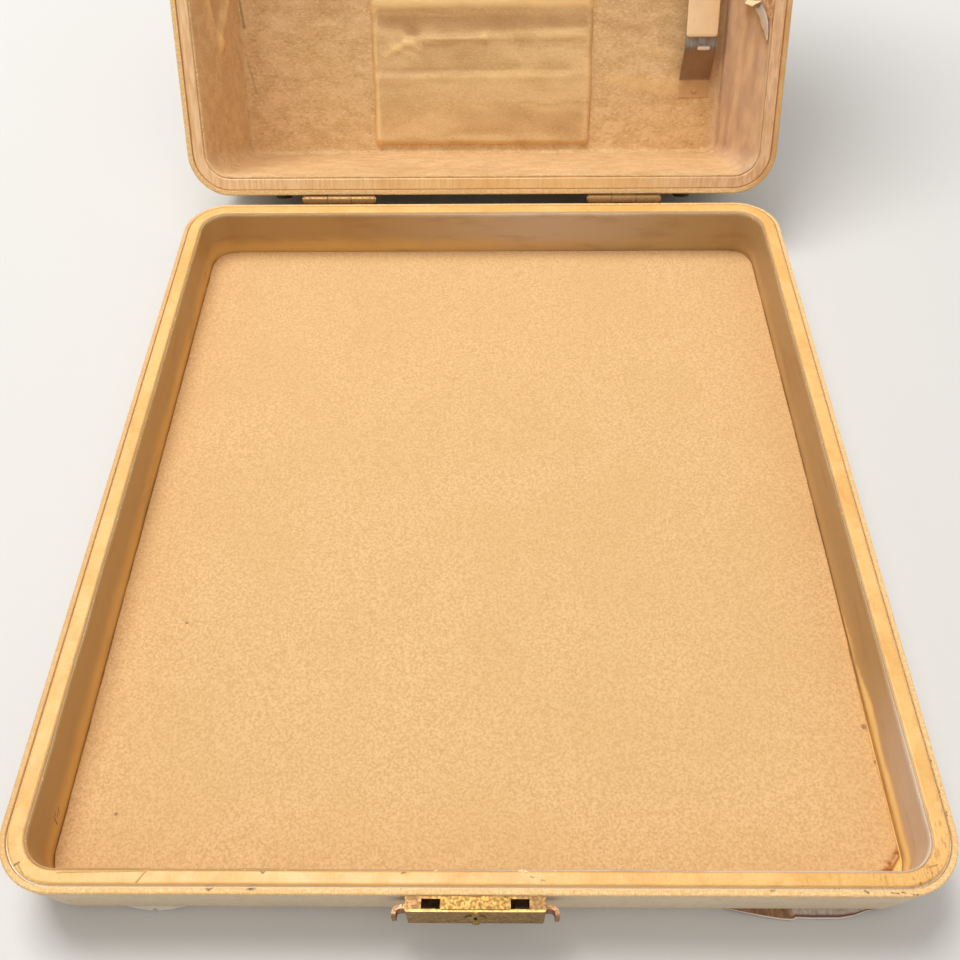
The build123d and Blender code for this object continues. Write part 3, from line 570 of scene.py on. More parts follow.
def lid_lining():
    """Felted tan paper with fine fibres, painted highlight on its folds and painted shade in its hollows,
    bare pink board where it has torn and a painted shadow under its curl.
    """
    paint = Paint("lid_lining", 0.85, sheen=0.08)
    mottle = paint.grain(7, 5.0, 0.4, stretch=(0.6, 1, 1))
    body = paint.blend((212, 170, 114), (232, 193, 140), mottle, 0.3, 0.7)
    body = paint.blend(body, (222, 178, 112), paint.grain(60, 3.0), 0.35, 0.7, 0.0, 0.3)
    fibre = paint.grain(1.1, 4.0, 0.8, stretch=(0.5, 1, 1))
    body = paint.blend(body, (248, 210, 158), fibre, 0.5, 0.68, 0.0, 0.55)
    body = paint.blend(body, (176, 124, 70), fibre, 0.3, 0.46, 0.4, 0.0)
    across = paint.along(rightward)
    side = paint.ramp(across, 158, 168)
    streak = paint.grain(5, 3.0, stretch=(1, 0.25, 0.25))
    pink = paint.blend((198, 162, 134), (226, 190, 150), streak, 0.35, 0.65)
    body = paint.mix(paint.product(side, 0.75), body, pink)
    fold = paint.fold()
    # Painted highlight on raised folds and painted shade in the low places between them
    body = paint.blend(body, (250, 206, 134), fold, 0.1, 1.2, 0.0, 0.75)
    body = paint.blend(body, (172, 120, 62), fold, -0.9, -0.1, 0.45, 0.0)
    bare = paint.along(tear_outward, opened(*tear_start))
    bare = paint.product(paint.ramp(bare, -0.4, 0.4), paint.ramp(across, 160, 162))
    fibres = paint.grain(1.6, 4.0, 0.4, stretch=(1, 0.5, 0.5))
    board = paint.blend((176, 124, 80), (234, 186, 134), fibres, 0.35, 0.65)
    body = paint.mix(bare, body, board)
    # Painted shadow: a dark band on the wall under the curled lining
    curl_shadow = paint.line(*(opened(*end) for end in curl_shadow_ends), 3.6, 0.3)
    body = paint.mix(curl_shadow, body, (112, 82, 46))
    seams = [(opened(*start), opened(*end), *rest) for start, end, *rest in lining_seams]
    body = paint.mix(paint.strokes(seams, 0.4), body, (104, 66, 36))
    paint.colour(body)
    paint.relief((mottle, 0.3), (fibre, 0.2), (paint.grain(0.4, 3.0), 0.1))
    return paint


def centre_panel_paint():
    """Crinkled tan lining with painted highlights on its folds and painted shade in its hollows."""
    paint = Paint("centre_panel", 0.7, sheen=0.08)
    mottle = paint.grain(14, 5.0, 0.6, stretch=(0.4, 1, 1))
    body = paint.blend((212, 170, 112), (232, 192, 134), mottle, 0.32, 0.68)
    fibre = paint.grain(1.1, 4.0, stretch=(0.6, 1, 1))
    body = paint.blend(body, (244, 208, 152), fibre, 0.5, 0.7, 0.0, 0.35)
    body = paint.blend(body, (178, 128, 74), fibre, 0.3, 0.45, 0.25, 0.0)
    fold = paint.fold()
    # Painted highlight on raised folds and painted shade in the low places between them
    body = paint.blend(body, (255, 216, 148), fold, 0.0, 0.9, 0.0, 0.9)
    body = paint.blend(body, (166, 116, 64), fold, -0.9, -0.1, 0.6, 0.0)
    paint.colour(body)
    paint.relief((mottle, 0.7), (fibre, 0.2))
    return paint


def floor_board():
    """Raw yellow board."""
    paint = Paint("floor_board", 0.8)
    fibre = paint.grain(1.5, 4.0, stretch=(1, 0.15, 1))
    paint.colour(paint.blend((238, 186, 104), (255, 216, 138), fibre, 0.3, 0.7))
    paint.relief((fibre, 0.2))
    return paint


def strap_vinyl():
    """Smooth cream vinyl of the strap."""
    paint = Paint("strap_vinyl", 0.4, coat=0.08)
    body = paint.mix(paint.grain(20, 3.0), (246, 204, 150), (254, 226, 178))
    body = paint.blend(body, (214, 168, 112), paint.grain(7, 5.0), 0.6, 0.75, 0.0, 0.3)
    paint.colour(body)
    paint.relief((paint.grain(10, 2.0), 0.4), (paint.grain(0.6), 0.05))
    return paint


def brass(name, shine, dull, fair, tarnish, pinkish):
    """Worn brass: dull and fair places, tarnish, and along the lock's top front edge a bright line that is
    rubbed brass and painted highlight.
    """
    paint = Paint(name, 0.4, metallic=1.0)
    wear = paint.grain(1.1, 4.0, 0.2)
    body = paint.blend(dull, fair, wear, 0.35, 0.65)
    body = paint.blend(body, tarnish, paint.grain(4.0, 5.0), 0.52, 0.7, 0.0, 0.5)
    across = paint.math("ABSOLUTE", paint.along(rightward))
    upper = paint.ramp(paint.along(upward), lock_top - 0.9, lock_top - 0.5, 0.0, 0.65)
    outer = paint.greater(upper, paint.ramp(across, lock_end, lock_end + 2, 0.0, 0.65))
    body = paint.mix(paint.product(paint.ramp(across, window_out, window_out + 1), outer), body, pinkish)
    scratched = paint.ramp(paint.grain(2.6, 4.0, 0.6), 0.56, 0.66)
    scratched = paint.product(scratched, paint.ramp(across, window_in, window_in + 2, 0.45, 0.0))
    body = paint.mix(scratched, body, (214, 174, 98))
    front = -case_depth / 2 - lock_depth
    # Rubbed brass and painted highlight: a bright line along the lock's top front edge
    rubbed = paint.line(*(upright(x, front, lock_top) for x in (-rubbed_highlight_reach, rubbed_highlight_reach)), 1.1, 0.3)
    body = paint.mix(paint.product(rubbed, 0.8), body, (222, 182, 104))
    paint.colour(body)
    paint.roughness(paint.ramp(wear, 0.3, 0.7, shine + 0.16, shine - 0.06))
    paint.relief((wear, 0.04), (paint.grain(0.4, 3.0), 0.02))
    return paint


def spring_steel():
    """Grey sprung strip, brown on its leg as painted shade and reflection, with a painted glint on its bend,
    its foot covered in lining paper.
    """
    paint = Paint("spring_steel", 0.42, metallic=0.45)
    brushed = paint.grain(1.2, 4.0, stretch=(1, 0.1, 0.1))
    grey = paint.blend((124, 112, 100), (150, 138, 126), brushed, 0.3, 0.7)
    station = paint.along(lid_back, lid_foot)
    # Painted shade and reflection: the leg faces down towards the lining and is coloured brown
    brown = paint.mix(paint.grain(8, 4.0), (136, 108, 82), (164, 136, 108))
    body = paint.blend(grey, brown, station, spring_bend + 1, spring_bend + 4)
    # Painted glint: a small white line across the bend
    bend_glint = [opened(strap_centre + x, spring_bend + 1.0, strap_back + 0.5) for x in (-1.0, 5.0)]
    body = paint.mix(paint.line(*bend_glint, 1.8, 0.2), body, (250, 244, 236))
    pasted = paint.ramp(station, spring_foot + 0.2, spring_foot + 1.4)
    body = paint.mix(pasted, body, paint.mix(paint.grain(7, 5.0), (196, 150, 98), (222, 176, 122)))
    paint.colour(body)
    paint.feed("Metallic", paint.product(paint.math("SUBTRACT", 1.0, pasted), 0.45))
    dull = paint.ramp(paint.grain(5, 4.0), 0.3, 0.7, 0.34, 0.56)
    paint.roughness(paint.greater(dull, paint.product(pasted, 0.85)))
    paint.relief((brushed, 0.05))
    return paint


def handle_vinyl():
    """Moulded cream grip with a fine grain and grime in its hollows."""
    paint = Paint("handle_vinyl", 0.5)
    body = paint.mix(paint.grain(14, 4.0), (210, 180, 136), (232, 206, 164))
    body = paint.blend(body, (164, 126, 84), paint.grain(5, 5.0), 0.5, 0.75, 0.0, 0.4)
    leather = paint.cells(0.9, "SMOOTH_F1")
    paint.colour(paint.blend(body, (150, 116, 78), leather, 0.25, 0.6, 0.0, 0.2))
    paint.relief((leather, 0.12))
    return paint


def foot_rubber():
    """Matt brown rubber, paler where it has rubbed."""
    paint = Paint("foot_rubber", 0.75)
    paint.colour(paint.mix(paint.grain(3, 5.0), (84, 66, 50), (112, 92, 72)))
    paint.relief((paint.grain(0.8, 4.0), 0.1))
    return paint


def torn_vinyl():
    """Torn covering at the lower front: brown inside, pinkish outside at the right, with a pale edge."""
    paint = Paint("torn_vinyl", 0.6)
    across = paint.along(rightward)
    fibre = paint.grain(1.2, 4.0, stretch=(1, 0.3, 1))
    inside = paint.blend((122, 78, 48), (168, 118, 74), fibre, 0.3, 0.7)
    outside = paint.blend((176, 150, 130), (212, 190, 170), fibre, 0.3, 0.7)
    fold = paint.fold()
    outside = paint.blend(outside, (112, 62, 44), fold, 0.6, 0.8)
    body = paint.blend(inside, outside, across, peel_notch - 1.0, peel_notch + 1.0)
    body = paint.blend(body, (240, 228, 210), fold, 0.86, 0.93)
    body = paint.blend(body, (236, 224, 206), across, -100, -60, 1.0, 0.0)
    paint.colour(body)
    paint.relief((fibre, 0.3))
    return paint


def torn_lining():
    """Turned-back lining in the lid: its grey backing, darker towards the lid's front as painted shade."""
    paint = Paint("torn_lining", 0.8)
    fold = paint.fold()
    grey = paint.mix(paint.grain(2.5, 4.0), (180, 160, 138), (216, 196, 172))
    # Painted shade: the backing is darker where it lies nearer the lid's front
    grey = paint.blend(grey, (120, 108, 90), paint.along(lid_back, lid_foot), 98.0, 107.0, 0.6, 0.0)
    paint.colour(paint.blend(grey, (254, 224, 180), fold, 0.3, 0.6))
    paint.relief((paint.grain(1.4, 3.0), 0.2))
    return paint


# Marks and tears, read from the photograph
felt_specks = [(-151.5, -168.3, 0.5), (170.1, -129.2, 0.9), (171.5, -145.1, 0.7), (-139.2, -77.5, 0.4)]
felt_stain = [(162.0, -194.0), (172.0, -182.5)]
# Ends of the painted shadow under the curled lining, as (x, y, z) on the closed lid
curl_shadow_ends = [(168.6, 91.0, 83.0), (170.6, 92.6, 58.0)]
wall_scuffs = [
    ((-174.0, 13.4), (-172.6, 17.4)),
    ((-172.6, 17.4), (-170.6, 18.4)),
    ((-169.6, 14.6), (-168.4, 17.0)),
    ((-171.4, 15.0), (-170.2, 15.6)),
]
tear_start = (171.0, 97.0, 59.0)
tear_end = (172.6, 114.5, 41.6)
tear_run = (lid_turn @ Vector((0, tear_end[1] - tear_start[1], tear_end[2] - tear_start[2]))).normalized()
tear_outward = rightward.cross(tear_run)
if tear_outward.dot(lid_back) > 0:
    tear_outward = -tear_outward
lining_seams = [
    ((-164.9, 90.0, 133.4), (-163.2, 106.5, 134.0), 1.5, 0.5),
    ((-163.0, 128.0, 134.2), (-158.6, 148.0, 134.5), 1.2, 0.25),
]
peel_notch = 125.9
ridge_marks = [
    ((-175.5, -198.5), (-172.3, -196.5), 0.55, 0.7),
    ((-172.6, -197.1), (-169.4, -201.4), 0.4, 0.45),
    ((-126.6, -204.0), (-123.6, -199.6), 0.4, 0.5),
    ((-156.9, -200.1), (-123.9, -199.4), 0.35, 0.4),
    ((-80.3, -199.5), (-79.6, -200.1), 0.45, 0.8),
    ((-79.6, -200.1), (-79.0, -199.5), 0.45, 0.8),
    ((-27.6, -199.9), (-27.0, -199.5), 0.45, 0.7),
    ((-26.6, -199.8), (-26.0, -199.4), 0.4, 0.6),
    ((20.6, -200.9), (21.6, -201.3), 0.4, 0.45),
    ((24.6, -202.2), (25.8, -202.4), 0.4, 0.4),
    ((173.0, -199.0), (174.7, -200.2), 0.55, 0.75),
    ((174.7, -200.2), (178.2, -199.5), 0.5, 0.75),
    ((169.6, -197.0), (172.4, -196.2), 0.4, 0.5),
]
ridge_pits = [((167.0, -200.6), 4.0), ((173.6, -194.6), 3.0), ((162.0, -202.4), 3.0), ((152.0, -203.0), 2.5)]
lip_chips = [
    ((-100.1, -204.9), (-98.9, -205.8), 0.9),
    ((-98.9, -205.6), (-97.3, -204.9), 0.5),
    ((-84.4, -205.3), (-82.2, -205.2), 1.15),
    ((-27.5, -204.9), (-27.0, -204.8), 0.6),
    ((-26.4, -204.8), (-25.9, -204.7), 0.5),
    ((109.4, -205.2), (110.5, -204.9), 0.8),
    ((143.5, -204.8), (143.8, -205.4), 0.65),
    ((143.8, -205.4), (144.9, -206.1), 0.6),
    ((153.1, -206.0), (156.0, -206.3), 0.4),
    ((157.4, -205.9), (158.3, -206.0), 0.6),
    ((161.2, -206.6), (162.9, -206.5), 0.45),
    ((178.2, -200.2), (180.0, -199.6), 0.55),
    ((181.8, -155.5), (181.9, -156.3), 0.55),
    ((181.4, -167.6), (181.5, -168.6), 0.45),
    ((181.9, -176.2), (181.8, -177.6), 0.5),
]


def on_height(marks, z):
    """The same marks with their ends raised to z."""
    return [(upright(*start, z), upright(*end, z), *rest) for start, end, *rest in marks]


# The lock, for the wear and the painted highlight on its brass
lock_depth = 5.4
lock_top = 37.0
window_in = 13.0
window_out = 16.0
lock_end = 28.0
rubbed_highlight_reach = 26.0

base_paint = shell_vinyl(
    "base_vinyl", upward, rearward, (0, 0, 0),
    lip_low=37.2, lip_high=39.0, worn_from=9.0, worn_to=3.0, worn_inset=9.0, shade_side=-0.9,
)
chips = base_paint.strokes([(*chip, 1.0) for chip in on_height(lip_chips, base_height)], 0.3)
chips = base_paint.product(chips, base_paint.ramp(base_paint.grain(0.8, 3.0), 0.36, 0.56, 0.25, 0.9))
base_paint.colour(base_paint.mix(chips, base_paint.coloured(), (98, 58, 28)))
pitted = [(upright(*spot, ridge_top), reach) for spot, reach in ridge_pits]
steel = spring_steel()
copper_brass = brass(
    "copper_brass", 0.42,
    dull=(142, 104, 72), fair=(166, 128, 92), tarnish=(98, 70, 46), pinkish=(146, 108, 78),
)
paints = {
    "base_shell": base_paint,
    "lid_shell": shell_vinyl(
        "lid_vinyl", lid_up, lid_back, lid_foot,
        lip_low=37.0, lip_high=39.3, worn_from=129.0, worn_to=135.0, worn_inset=13.0, shade_side=1,
    ),
    "base_wall_frame": rim_vinyl("base_rim_vinyl", on_height(ridge_marks, ridge_top), pitted),
    "lid_wall_frame": lid_rim_vinyl(),
    "base_floor_board": floor_board(),
    "hold_down_spring": steel,
    "hold_down_rivets": steel,
    "left_catch_spring": steel,
    "right_catch_spring": steel,
    "handle_grip": handle_vinyl(),
    "left_catch": copper_brass,
    "right_catch": copper_brass,
}
felt_paint = floor_felt()
wall_paint = wall_lining()
lid_paint = lid_lining()
panel_paint = centre_panel_paint()
strap_paint = strap_vinyl()
brass_paint = brass(
    "worn_brass", 0.44,
    dull=(138, 106, 58), fair=(164, 128, 72), tarnish=(98, 74, 42), pinkish=(128, 96, 68),
)
rubber_paint = foot_rubber()
peel_paint = torn_vinyl()
tear_paint = torn_lining()
for name, node in frame["nodes"].items():
    paint = rubber_paint if name.endswith("_feet") else paints.get(name, brass_paint)
    for index in range(len(node.material_slots)):
        node.material_slots[index].material = paint.material


# Floor felt: lies flat, cut narrow at the right, its front right corner torn away
def make_floor_felt():
    half_x = case_width / 2 - felt_inset
    half_y = (case_depth + front_rim_trim) / 2 - felt_inset
    torn_line = half_x + half_y - felt_torn

    def place(x, y, edge):
        ragged = 0.15 + 0.3 * wave(x, y, 0, 9.0) * (1 - swell(edge, 0, 12))
        x -= 1.2 * swell(x, 0, half_x) * swell(-y, 40, 150) + math.copysign(ragged, x)
        past = x - y - torn_line + 1.6 * wave(x, y, 3, 4.0)
        if past > 0:
            x, y = x - past / 2, y + past / 2
        lift = 0.22 * wave(x, y, 7, 45.0) + 0.1 * wave(x, y, 2, 12.0)
        top = felt_high - rounded_off(edge, 0.7) + lift * swell(edge, 0, 3)
        y -= front_rim_trim / 2
        return upright(x, y, top), upright(x, y, felt_low)

    spots = rounded_grid(half_x, half_y, felt_corner, 6.0)
    felt = make_cloth("floor_felt_sheet", spots, place, "base", "floor_felt", felt_paint)
    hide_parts("base_floor_lining")


# Lining of the base's walls: its foot turns in over the board at the right
def make_base_wall_cloth():
    def place(share, x, y, out_x, out_y):
        top = base_lining_high + 0.4 * wave(x, y, 9, 22.0)
        z = base_lining_low + (top - base_lining_low) * share
        ripple = max(0.3 * wave(x, y, z, 34.0) + 0.15 * wave(x, y, z / 6, 7.0), -0.2)
        turned = swell(z, felt_high, felt_high + 1) * (1 - swell(z, felt_high + 1, 16))
        inset = lining_inset + ripple * swell(z, felt_high, felt_high + 5) + 0.9 * max(out_x, 0.0) * turned
        face = upright(x - inset * out_x, y - inset * out_y, z)
        return face, upright(x - lining_glued_inset * out_x, y - lining_glued_inset * out_y, z)

    spots = wall_spots(stations(5.0, front_rim_trim), 14)
    cloth = make_cloth("base_wall_cloth", spots, place, "base", "wall_lining", wall_paint, ring=True)
    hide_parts("base_wall_lining")


# Lining of the lid's walls: a pointed tuck at the left, long wrinkles at the right
tuck_tip = (117.4, 84.0)
tuck_low = (60.0, 46.0)
tuck_high = (60.0, 136.0)


def wall_relief(x, y, z, out_x):
    """How far the lid's wall lining stands off its wall."""
    relief = 0.5 + 0.5 * wave(x, y, z, 40.0) + 0.25 * wave(x, y, z, 13.0)
    if out_x < -0.7:
        relief += 1.7 * crease((y, z), tuck_tip, tuck_low, 4.4)
        relief += 2.0 * crease((y, z), tuck_tip, tuck_high, 4.0)
        relief += 0.8 * crease((y, z), tuck_tip, (128.0, 84.0), 4.0)
        relief -= 1.1 * crease((y, z), (104.0, 84.0), (60.0, 90.0), 8.0)
    if out_x > 0.7:
        wander = 5.0 * wave(0, y, 5, 60.0)
        relief += 0.8 * math.sin((z + wander) / 3.6) * (0.6 + 0.5 * wave(3, y, z, 35.0))
    return max(relief, 0.0)


def make_lid_wall_cloth():
    def place(share, x, y, out_x, out_y):
        low = lid_lining_low + 0.5 * wave(x, y, 4, 18.0)
        z = low + (lid_lining_high - low) * share
        relief = wall_relief(x, y, z, out_x)
        leaning = (z - lid_lip) * lid_slope
        inset = lining_inset + leaning + relief
        glued = lining_glued_inset + leaning
        face = opened(x - inset * out_x, y - inset * out_y, z)
        return face, opened(x - glued * out_x, y - glued * out_y, z), (relief - 0.9) / 1.6

    spots = wall_spots(stations(3.0), 40)
    cloth = make_cloth("lid_wall_cloth", spots, place, "lid", "lid_lining", lid_paint, ring=True)
    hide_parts("lid_wall_lining")


# Lining of the lid's top, with low folds given by their ends, width and height
ceiling_creases = [
    ((80.0, 99.0), (96.0, 101.0), 2.2, 1.0),
    ((84.0, 105.0), (106.0, 110.0), 5.5, -0.9),
    ((112.0, 120.0), (138.0, 129.0), 5.0, 0.7),
    ((88.0, 142.0), (130.0, 145.0), 7.0, 1.0),
    ((-148.0, 126.7), (-124.0, 130.7), 2.0, 0.7),
    ((-139.0, 136.4), (-118.0, 139.7), 2.0, 0.7),
    ((-150.0, 96.0), (-90.0, 100.0), 5.0, -0.6),
    ((-150.0, 20.0), (-90.0, 44.0), 6.0, 0.9),
    ((90.0, 10.0), (150.0, -10.0), 6.0, 0.9),
    ((-150.0, -90.0), (-96.0, -70.0), 6.0, 0.8),
    ((94.0, -110.0), (150.0, -90.0), 6.0, 0.8),
]


def make_ceiling_cloth():
    half_x = case_width / 2 - ceiling_inset
    half_y = case_depth / 2 - ceiling_inset

    def place(x, y, edge):
        lift = 0.6 + 0.5 * wave(x, y, 1, 48.0) + 0.25 * wave(x * 0.4, y, 6, 12.0)
        lift = max(lift + creased(x, y, ceiling_creases), 0.0)
        free = swell(edge, 0, 6)
        drop = lift * free + rounded_off(max(edge - 1.2, 0.0), 3.0)
        return opened(x, y, ceiling_face - drop), opened(x, y, ceiling_back), (lift - 0.6) / 1.4 * free

    spots = rounded_grid(half_x, half_y, plan_corner - ceiling_inset, 3.0)
    cloth = make_cloth("lid_ceiling_cloth", spots, place, "lid", "lid_lining", lid_paint)
    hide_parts("lid_ceiling_lining")


# Crinkled panel down the middle of the lid, each crease given by its ends, width and height
panel_creases = [
    ((-48, 114.6), (2, 113.2), 1.8, 1.7),
    ((2, 113.2), (70, 111.8), 2.6, 1.2),
    ((-67, 124.4), (-52.4, 116.2), 2.2, 1.4),
    ((-52.4, 116.2), (-44, 119.6), 2.0, 1.5),
    ((-67.4, 114.6), (-47, 127.0), 3.0, 0.7),
    ((-76, 138.2), (76, 136.8), 3.0, 0.55),
    ((-75, 134.6), (60, 133.8), 1.8, -0.8),
    ((-50, 108.6), (-46, 112.0), 3.0, -1.0),
    ((-74, 91.0), (74, 89.6), 6.0, 1.8),
    ((-70, 103.0), (72, 104.0), 6.5, -1.0),
    ((-70, 40.0), (60, 52.0), 7.0, 1.4),
    ((-60, -20.0), (74, -8.0), 5.0, 1.2),
    ((-74, -70.0), (40, -82.0), 6.0, 1.3),
    ((-40, -130.0), (72, -122.0), 5.0, 1.0),
]


def make_centre_panel():
    def place(x, y, edge):
        lift = 1.2 + 0.7 * wave(x * 0.35, y, 1, 26.0) + 0.3 * wave(x * 0.6, y, 6, 9.0)
        lift += creased(x, y, panel_creases)
        side = panel_half_width - abs(x)
        lift += (1.3 if x < 0 else 0.6) * math.exp(-(((side - 2.5) / 2.2) ** 2))
        ragged = x + 0.8 * wave(x / 50, y, 8, 20.0) * (1 - swell(side, 0, 8))
        face = panel_face + rounded_off(edge, 1.6) - max(lift, 0.0) * swell(edge, 0, 3)
        return opened(ragged, y, face), opened(ragged, y, panel_back), (lift - 1.5) / 1.6

    spots = rounded_grid(panel_half_width, panel_half_length, 3.0, 2.2)
    panel = make_cloth("lid_panel_cloth", spots, place, "lid", "lid_lining", panel_paint)
    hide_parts("lid_centre_panel")


# Cream strap on the hold-down spring
def make_strap_cover():
    half_length = (strap_rear - strap_front) / 2
    middle = (strap_rear + strap_front) / 2

    def place(x, y, edge):
        lift = 0.25 + 0.2 * wave(x, y, 3, 14.0)
        face = strap_face + rounded_off(edge, 0.7) - lift * swell(edge, 0, 3)
        x += strap_centre
        return opened(x, middle + y, face), opened(x, middle + y, strap_back - 0.05)

    spots = rounded_grid(strap_half_width, half_length, 2.0, 2.5)
    strap = make_cloth("strap_cover", spots, place, "lid", "strap_vinyl", strap_paint)
    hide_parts("hold_down_strap")


# Torn covering along the base's lower front edge, as corners of (x, share of its reach)
flap_corners = [
    (99.2, 0.26), (106.0, 0.5), (114.0, 0.76), (121.0, 0.94), (125.0, 1.0), (126.4, 0.98), (127.2, 0.86),
    (135.0, 0.9), (145.0, 0.88), (151.0, 0.7), (156.0, 0.38), (160.0, 0.31), (164.0, 0.22),
]
sliver_corners = [
    (-142.0, 0.4), (-136.0, 0.8), (-131.0, 1.0), (-129.8, 0.62), (-128.4, 1.0), (-122.0, 0.8), (-116.4, 0.4),
]
peel_across = 8


def make_peel(name, corners, root_z, reach, drop):
    """A thin torn strip that stands off the base's lower front edge."""
    start, end = corners[0][0], corners[-1][0]

    def place(along, out):
        x = start + (end - start) * along
        share = profile(x, corners)
        y = peel_root - reach * share * out
        z = root_z - drop * share * out**0.7 + 0.22 * wave(x, peel_across * out, 4, 2.6) * share
        return upright(x, y, z), upright(x, y, z - peel_thickness), out

    spots = strip_spots(max(round((end - start) / 0.8), 20), peel_across)
    make_cloth(name, spots, place, "base", "shell_vinyl", peel_paint)


# Turned-back lining at the lid's right wall: lines of (y, z) on the closed lid, held and free
strip_held = [(98.8, 57.0), (104.4, 48.6), (109.5, 43.6), (114.5, 41.6), (118.9, 41.0)]
strip_free = [(100.8, 64.6), (105.3, 56.8), (110.7, 52.2), (115.4, 45.8), (119.6, 41.6)]
curl_held = [(82.0, 93.5), (92.0, 90.0), (94.6, 85.5), (96.0, 72.0), (97.0, 58.0)]
curl_free = [(82.0, 90.5), (92.0, 86.8), (96.8, 82.0), (99.9, 66.4), (98.0, 56.6)]


def on_line(points, share):
    """A place along straight runs between points, each run taking an equal share."""
    place = share * (len(points) - 1)
    index = min(int(place), len(points) - 2)
    return Vector(points[index]).lerp(Vector(points[index + 1]), place - index)

def make_turned_lining(name, held, free, ease, pale):
    """A ribbon between two lines that rises off the wall towards the free one, less so at its end."""
    def place(share, out):
        y, z = on_line(held, share).lerp(on_line(free, share), out)
        y += 0.5 * out * wave(share * 20, 1, 2, 4.0)
        rise = 0.9 + 2.4 * out**0.8 * (1 - ease * share) + 0.4 * wave(share * 16, out * 3, 5, 3.0) * out
        x = case_width / 2 - lining_inset - (z - lid_lip) * lid_slope - rise
        return opened(x - ribbon_thickness, y, z), opened(x, y, z), pale + 0.3 * swell(share, 0.75, 1)

    make_cloth(name, strip_spots(24, 6), place, "lid", "lid_lining", tear_paint)


# Crumbs of pale fluff on the front ridge, as (x, y, z, size)
ridge_crumbs = [
    (-14.6, -199.1, 38.6, 0.5),
    (-15.4, -199.2, 38.5, 0.35),
    (16.4, -199.2, 38.6, 0.6),
    (17.4, -199.1, 38.7, 0.7),
    (18.6, -199.2, 38.6, 0.65),
    (19.4, -199.3, 38.5, 0.4),
]


def make_crumbs(name, lumps):
    """Small rough lumps in one mesh."""
    work = bmesh.new()
    for x, y, z, size in lumps:
        made = bmesh.ops.create_icosphere(work, subdivisions=3, radius=size * MM)
        for vertex in made["verts"]:
            rough = 1 + 0.45 * noise.noise(vertex.co * crumb_waves + Vector((x, y, z)))
            vertex.co = vertex.co * rough + upright(x, y, z)
            vertex.co.z = max(vertex.co.z, (ridge_top - 0.9) * MM)
    finish_piece(name, bpy.data.meshes.new(name), work, "base", strap_paint)


# Catch springs, each a coil from its lug out to the end of its catch's slot
coil_start = 13.6
coil_end = 20.4
coil_turns = 5
coil_radius = 1.0
coil_wire = 0.22
coil_steps = 24
wire_sides = 8
coil_y = -210.1
coil_height = 24.3


def make_catch_coil(hand, side):
    """A coil from the lug at coil_start outward to the end of the catch's slot."""
    rounds = coil_steps * coil_turns
    length = coil_end - coil_start - 2 * coil_wire
    points, faces = [], []
    for step in range(rounds + 1):
        angle = 2 * math.pi * coil_turns * step / rounds
        for corner in range(wire_sides):
            about = 2 * math.pi * corner / wire_sides
            reach = coil_radius + coil_wire * math.cos(about)
            x = coil_start + coil_wire + length * step / rounds + coil_wire * math.sin(about)
            y, z = coil_y + reach * math.cos(angle), coil_height + reach * math.sin(angle)
            points.append(upright(side * x, y, z))
    for step in range(rounds):
        for corner in range(wire_sides):
            near, far = step * wire_sides, (step + 1) * wire_sides
            after = (corner + 1) % wire_sides
            faces.append([near + corner, near + after, far + after, far + corner])
    faces.append(list(range(wire_sides)))
    faces.append([rounds * wire_sides + corner for corner in range(wire_sides)])
    coil = make_piece(f"{hand}_catch_coil", points, faces, "base", "spring_steel", steel)
    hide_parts(f"{hand}_catch_spring")
    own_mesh(coil)


make_catch_coil("left", -1)
make_catch_coil("right", 1)
make_floor_felt()
make_base_wall_cloth()
make_lid_wall_cloth()
make_ceiling_cloth()
make_centre_panel()
make_strap_cover()
make_peel("torn_flap", flap_corners, root_z=2.9, reach=5.6, drop=2.3)
make_peel("torn_sliver", sliver_corners, root_z=2.7, reach=2.9, drop=1.6)
make_turned_lining("turned_lining_strip", strip_held, strip_free, ease=0.95, pale=0.2)
make_turned_lining("turned_lining_curl", curl_held, curl_free, ease=0.0, pale=1.0)
make_crumbs("ridge_crumbs", ridge_crumbs)

# Camera
camera = link("camera", bpy.data.cameras.new("camera"))
camera.data.lens = focal_px / image_width_px * camera.data.sensor_width
camera.data.clip_start = 0.01
camera.location = eye
camera.rotation_mode = "QUATERNION"
turn = Matrix.Rotation(look_left, 3, "Z") @ Matrix.Rotation(math.pi / 2 - look_down, 3, "X")
camera.rotation_quaternion = (turn @ Matrix.Rotation(camera_roll, 3, "Z")).to_quaternion()
bpy.context.scene.camera = camera

# Floor and light
floor_reach = 6.0
world_light = 0.42
world_seen = 0.85


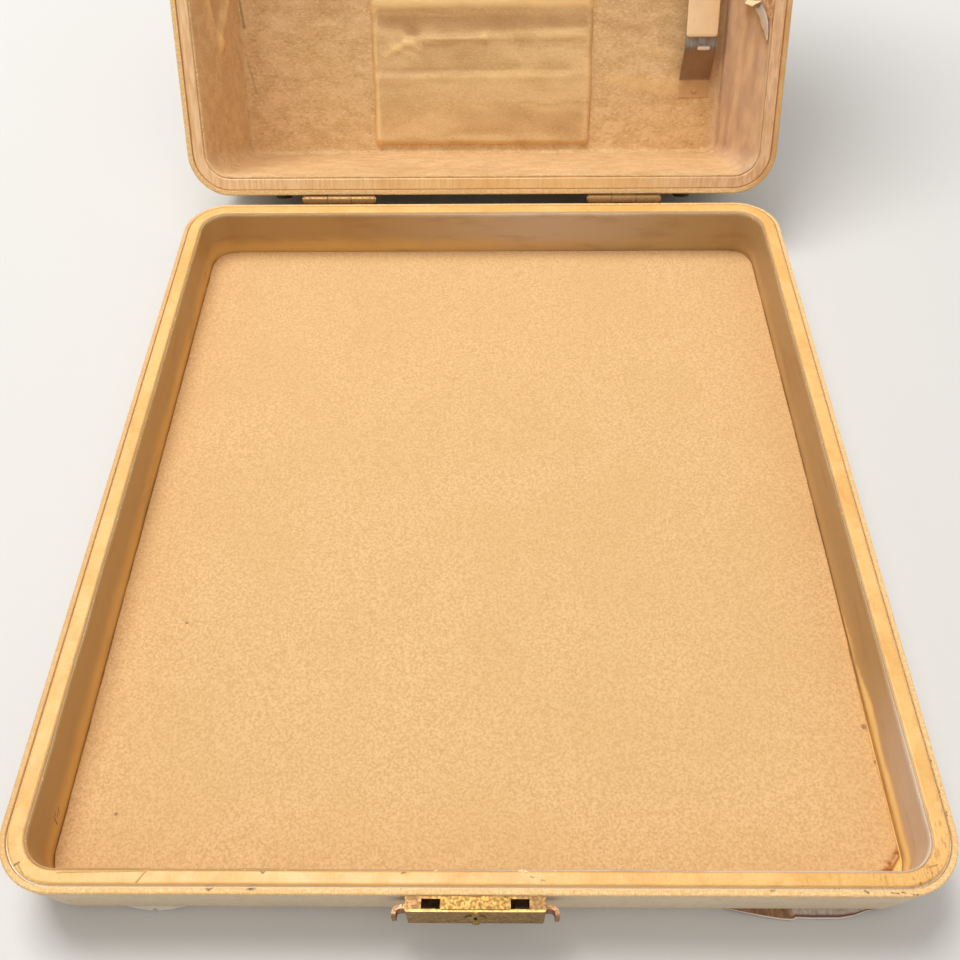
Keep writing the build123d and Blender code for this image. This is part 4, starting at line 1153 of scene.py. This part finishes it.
def seen_or_mirrored(tree):
    """1 for rays from the camera and from mirrors and glass, 0 for rays that light the object."""
    rays = tree.nodes.new("ShaderNodeLightPath")
    seen = rays.outputs["Is Camera Ray"]
    for kind in ("Is Glossy Ray", "Is Transmission Ray"):
        either = tree.nodes.new("ShaderNodeMath")
        either.operation = "MAXIMUM"
        tree.links.new(seen, either.inputs[0])
        tree.links.new(rays.outputs[kind], either.inputs[1])
        seen = either.outputs[0]
    return seen


floor_mesh = bpy.data.meshes.new("floor")
floor_corners = [(-floor_reach, -floor_reach, 0), (floor_reach, -floor_reach, 0)]
floor_corners += [(floor_reach, floor_reach, 0), (-floor_reach, floor_reach, 0)]
floor_mesh.from_pydata(floor_corners, [], [(0, 1, 2, 3)])
floor = link("floor", floor_mesh)
floor_paint = Paint("pale_floor", 0.5)
floor_paint.shader.inputs["Base Color"].default_value = srgb(222, 219, 214)
floor_paint.shader.inputs["Emission Color"].default_value = (1, 1, 1, 1)
distance = floor_paint.vector("LENGTH", {0: floor_paint.place}, "Value")
fading = floor_paint.ramp(distance, 0.3, 2.2, 0.0, world_seen * 0.7)
floor_paint.feed("Emission Strength", floor_paint.product(fading, seen_or_mirrored(floor_paint.tree)))
floor_mesh.materials.append(floor_paint.material)

# The world is brighter where it is seen or mirrored than where it lights
world = bpy.data.worlds.new("studio")
world.use_nodes = True
sky = world.node_tree.nodes["Background"]
sky.inputs["Color"].default_value = (1, 1, 1, 1)
level = world.node_tree.nodes.new("ShaderNodeMapRange")
level.inputs["To Min"].default_value = world_light
level.inputs["To Max"].default_value = world_seen
world.node_tree.links.new(seen_or_mirrored(world.node_tree), level.inputs["Value"])
world.node_tree.links.new(level.outputs[0], sky.inputs["Strength"])
bpy.context.scene.world = world
bpy.context.scene.view_settings.view_transform = "Standard"

for name, place, size, power in (("key", (-0.35, 0.5, 1.7), 0.8, 24.0), ("fill", (0.7, -0.9, 1.4), 1.5, 5.0)):
    lamp = link(name, bpy.data.lights.new(name, "AREA"))
    lamp.location = place
    lamp.data.size = size
    lamp.data.energy = power
    lamp.rotation_euler = (Vector((0, 0.1, 0.05)) - lamp.location).to_track_quat("-Z", "Y").to_euler()
